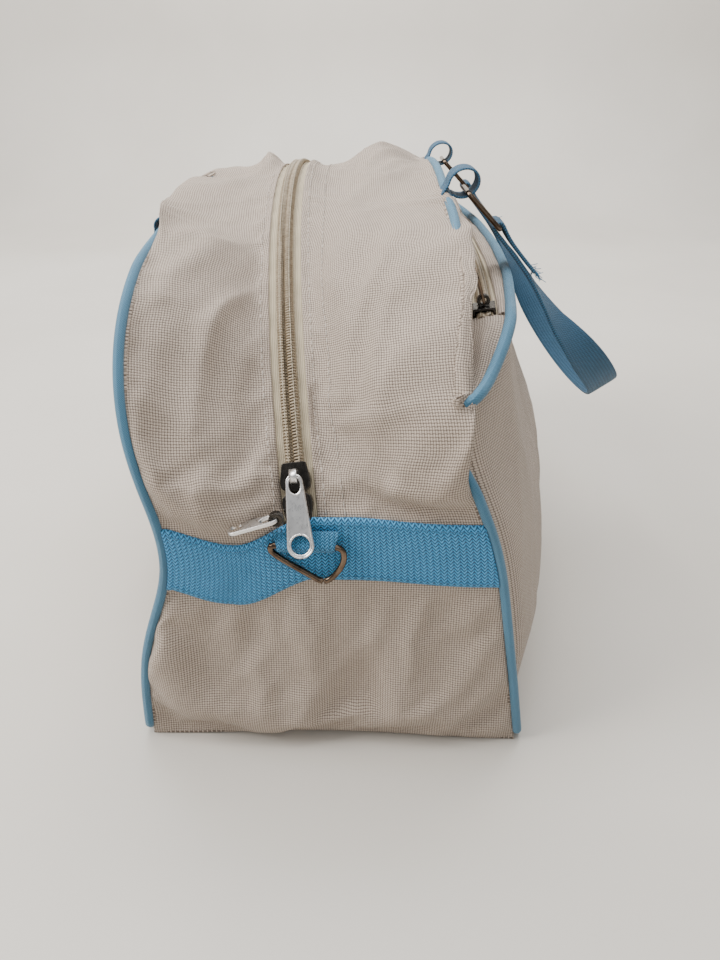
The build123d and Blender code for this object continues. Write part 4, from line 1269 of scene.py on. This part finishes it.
def slider_body(at, reverse):
    """Slider of the main zip without its loop, at an angle along the zip, reverse being 1 or
    -1: two shield-shaped plates, joined by two side walls and a post."""
    shield = np.array([(-0.50, 0.34), (-0.47, 0.40), (-0.16, 0.46), (0.14, 0.50), (0.36, 0.47), (0.47, 0.34),
                       (0.50, 0.18)])
    outline = np.concatenate([shield, shield[::-1] * [1, -1]])
    shapes = []

    def slab(ring, low, high):
        """Adds a plate with this outline, from one height to another."""
        count = len(ring)
        sides = []
        for level in (low, high):
            angle = at + reverse * ring[:, 0] * SLIDER_LONG / ZIP_RADIUS
            sides.append(zip_point(angle, ring[:, 1] * SLIDER_WIDE, level))
        points = np.concatenate(sides)
        faces = [tuple(range(count)), tuple(range(count, 2 * count))[::-1]]
        faces += [(k, k + count, (k + 1) % count + count, (k + 1) % count) for k in range(count)]
        shapes.append((points, faces))

    foot_low, foot_high, cap_low, cap_high = SLIDER_LEVELS
    slab(outline, cap_low, cap_high)
    slab(outline, foot_low, foot_high)
    for sign in (-1, 1):
        wall = np.array([(-0.15, 0.36), (0.14, 0.39), (0.47, 0.26), (0.47, 0.36), (0.36, 0.47), (0.14, 0.50),
                         (-0.15, 0.46)])
        slab(wall * [1, sign], foot_high + 0.0011, cap_low + 0.0003)
    post = np.array([(-0.1, -0.03), (0.1, -0.03), (0.1, 0.03), (-0.1, 0.03)])
    slab(post, foot_high - 0.0003, cap_low + 0.0003)
    return shapes


def slider_loop(centre, across):
    """Small round loop that a puller hangs in."""
    radius, hole, wide = SLIDER_LOOP
    across = unit(np.array(across, float))
    side = unit(np.cross(across, np.array([0.2, 0.3, 0.9])))
    other = np.cross(across, side)
    a = np.linspace(0, 2 * math.pi, 28, endpoint=False)
    ring = side * np.cos(a)[:, None] + other * np.sin(a)[:, None]
    profile = ((radius, -wide / 2), (radius, wide / 2), (hole, wide / 2), (hole, -wide / 2),
               (radius, -wide / 2))
    rows = [centre + ring * r + across * w for r, w in profile]
    return np.concatenate(rows), [tuple(f) for f in grid_faces(len(rows), len(ring), wrap=True)]


def cast_slider(node, shapes):
    """Casts a slider's shapes into one piece with softened edges."""
    obj = applied(softened(many(node + "_cast", shapes), 0.00020, 5))
    shade_smooth(obj.data)
    return finish_piece(obj, black_metal, body_of_node[node], [node])


first_angle = math.atan2(-(main_hinge - zip_centre)[0], (main_hinge - zip_centre) @ zip_up)
second_angle = first_angle + math.radians(3.2)
cast_slider("main_slider", slider_body(first_angle, 1))
bridge = mesh_object("main_bridge", *slider_loop(main_hinge, zip_across))
finish_piece(bridge, bright_metal, body_of_node["main_slider"], ["main_slider"])
side_edge = zip_point(second_angle, SLIDER_WIDE / 2, SLIDER_LEVELS[2])
arm = np.linspace(0, 1, 6)[:, None]
arm_start = side_edge + np.array([0.001, -0.0006, -0.0004])
arm_reach = second_hinge - side_edge + np.array([0.002, -0.0016, 0])
arm_line = arm_start + arm_reach * arm
arm_shape = shape_of(tube("arm", arm_line, 0.0012, 8))
second_shapes = slider_body(second_angle, -1) + [slider_loop(second_hinge, (1, 0, 0)), arm_shape]
cast_slider("second_slider", second_shapes)
cast("pocket_slider", black_metal, 0.00022)
cast("pocket_puller", dark_metal, 0.00022)


# ------------------------------------------------------------------ camera, light, floor
CAMERA_LENS = 27.56
CAMERA_PLACE = (-0.433, -0.018, 0.270)
CAMERA_PITCH = math.radians(28.8)  # below level
CAMERA_YAW = math.radians(1.3)  # to the left
BACKDROP_START = 1.1  # where the floor begins to curve up behind the bag
BACKDROP_CURVE = 0.35  # radius of that curve
BACKDROP_TOP = 2.2
ROOM_COLOUR = (0.86, 0.88, 0.9, 1)
ROOM_LIGHT = 0.42


def look(obj, target):
    """Turns a camera or light to face a place."""
    obj.rotation_mode = "QUATERNION"
    obj.rotation_quaternion = (Vector(target) - obj.location).to_track_quat("-Z", "Y")


camera = bpy.data.objects.new("camera", bpy.data.cameras.new("camera"))
bpy.context.scene.collection.objects.link(camera)
camera.data.lens = CAMERA_LENS
camera.location = CAMERA_PLACE
pitch, yaw = CAMERA_PITCH, CAMERA_YAW
ahead = Vector((math.cos(pitch) * math.cos(yaw), math.cos(pitch) * math.sin(yaw), -math.sin(pitch)))
look(camera, camera.location + ahead)
camera.data.clip_start, camera.data.clip_end = 0.01, 20
bpy.context.scene.camera = camera


def softbox(name, place, target, size, power, colour=(1, 1, 1)):
    """Square area light facing a place."""
    light = bpy.data.lights.new(name, "AREA")
    light.shape, light.size, light.size_y = "RECTANGLE", size, size
    light.energy, light.color = power, colour
    obj = bpy.data.objects.new(name, light)
    bpy.context.scene.collection.objects.link(obj)
    obj.location = place
    look(obj, target)


softbox("wall", (0.75, 0.0, 1.5), (1.45, 0, 0.55), 1.2, 26, (0.97, 0.985, 1))
softbox("window", (-0.35, 1.25, 1.15), (0, 0, 0.1), 0.9, 32, (1, 0.985, 0.96))
softbox("ceiling", (0.15, 0.0, 1.7), (0, 0, 0), 1.4, 26)
softbox("room", (-1.5, -0.5, 1.3), (0, 0, 0.12), 1.2, 6, (0.97, 0.985, 1))

world = bpy.data.worlds.new("room")
bpy.context.scene.world = world
world.use_nodes = True
world.node_tree.nodes["Background"].inputs[0].default_value = ROOM_COLOUR
world.node_tree.nodes["Background"].inputs[1].default_value = ROOM_LIGHT

floor_finish = Finish("pale_floor", 0.55)
floor_tones = [(0.3, (0.60, 0.56, 0.50)), (0.7, (0.66, 0.62, 0.56))]
floor_tone = floor_finish.ramp(floor_finish.noise(3, 4.0), floor_tones)
floor_finish.finish(floor_tone, floor_finish.noise(180, 4.0), 0.0002, 0.3)
turn = np.linspace(0, math.pi / 2, 14)
bend = BACKDROP_CURVE * np.stack([np.sin(turn), 1 - np.cos(turn)], 1) + [BACKDROP_START, 0]
sweep = np.concatenate([[[-2.5, 0.0]], bend, [[BACKDROP_START + BACKDROP_CURVE, BACKDROP_TOP]]])
width = np.linspace(-3, 3, 2)
backdrop = np.stack([
    np.broadcast_to(sweep[:, None, 0], (len(sweep), 2)),
    np.broadcast_to(width[None], (len(sweep), 2)),
    np.broadcast_to(sweep[:, None, 1] - 0.0002, (len(sweep), 2)),
], -1)
floor = mesh_object("floor", backdrop.reshape(-1, 3), grid_faces(len(sweep), 2)[:, ::-1])
floor.data.materials.append(floor_finish.material)
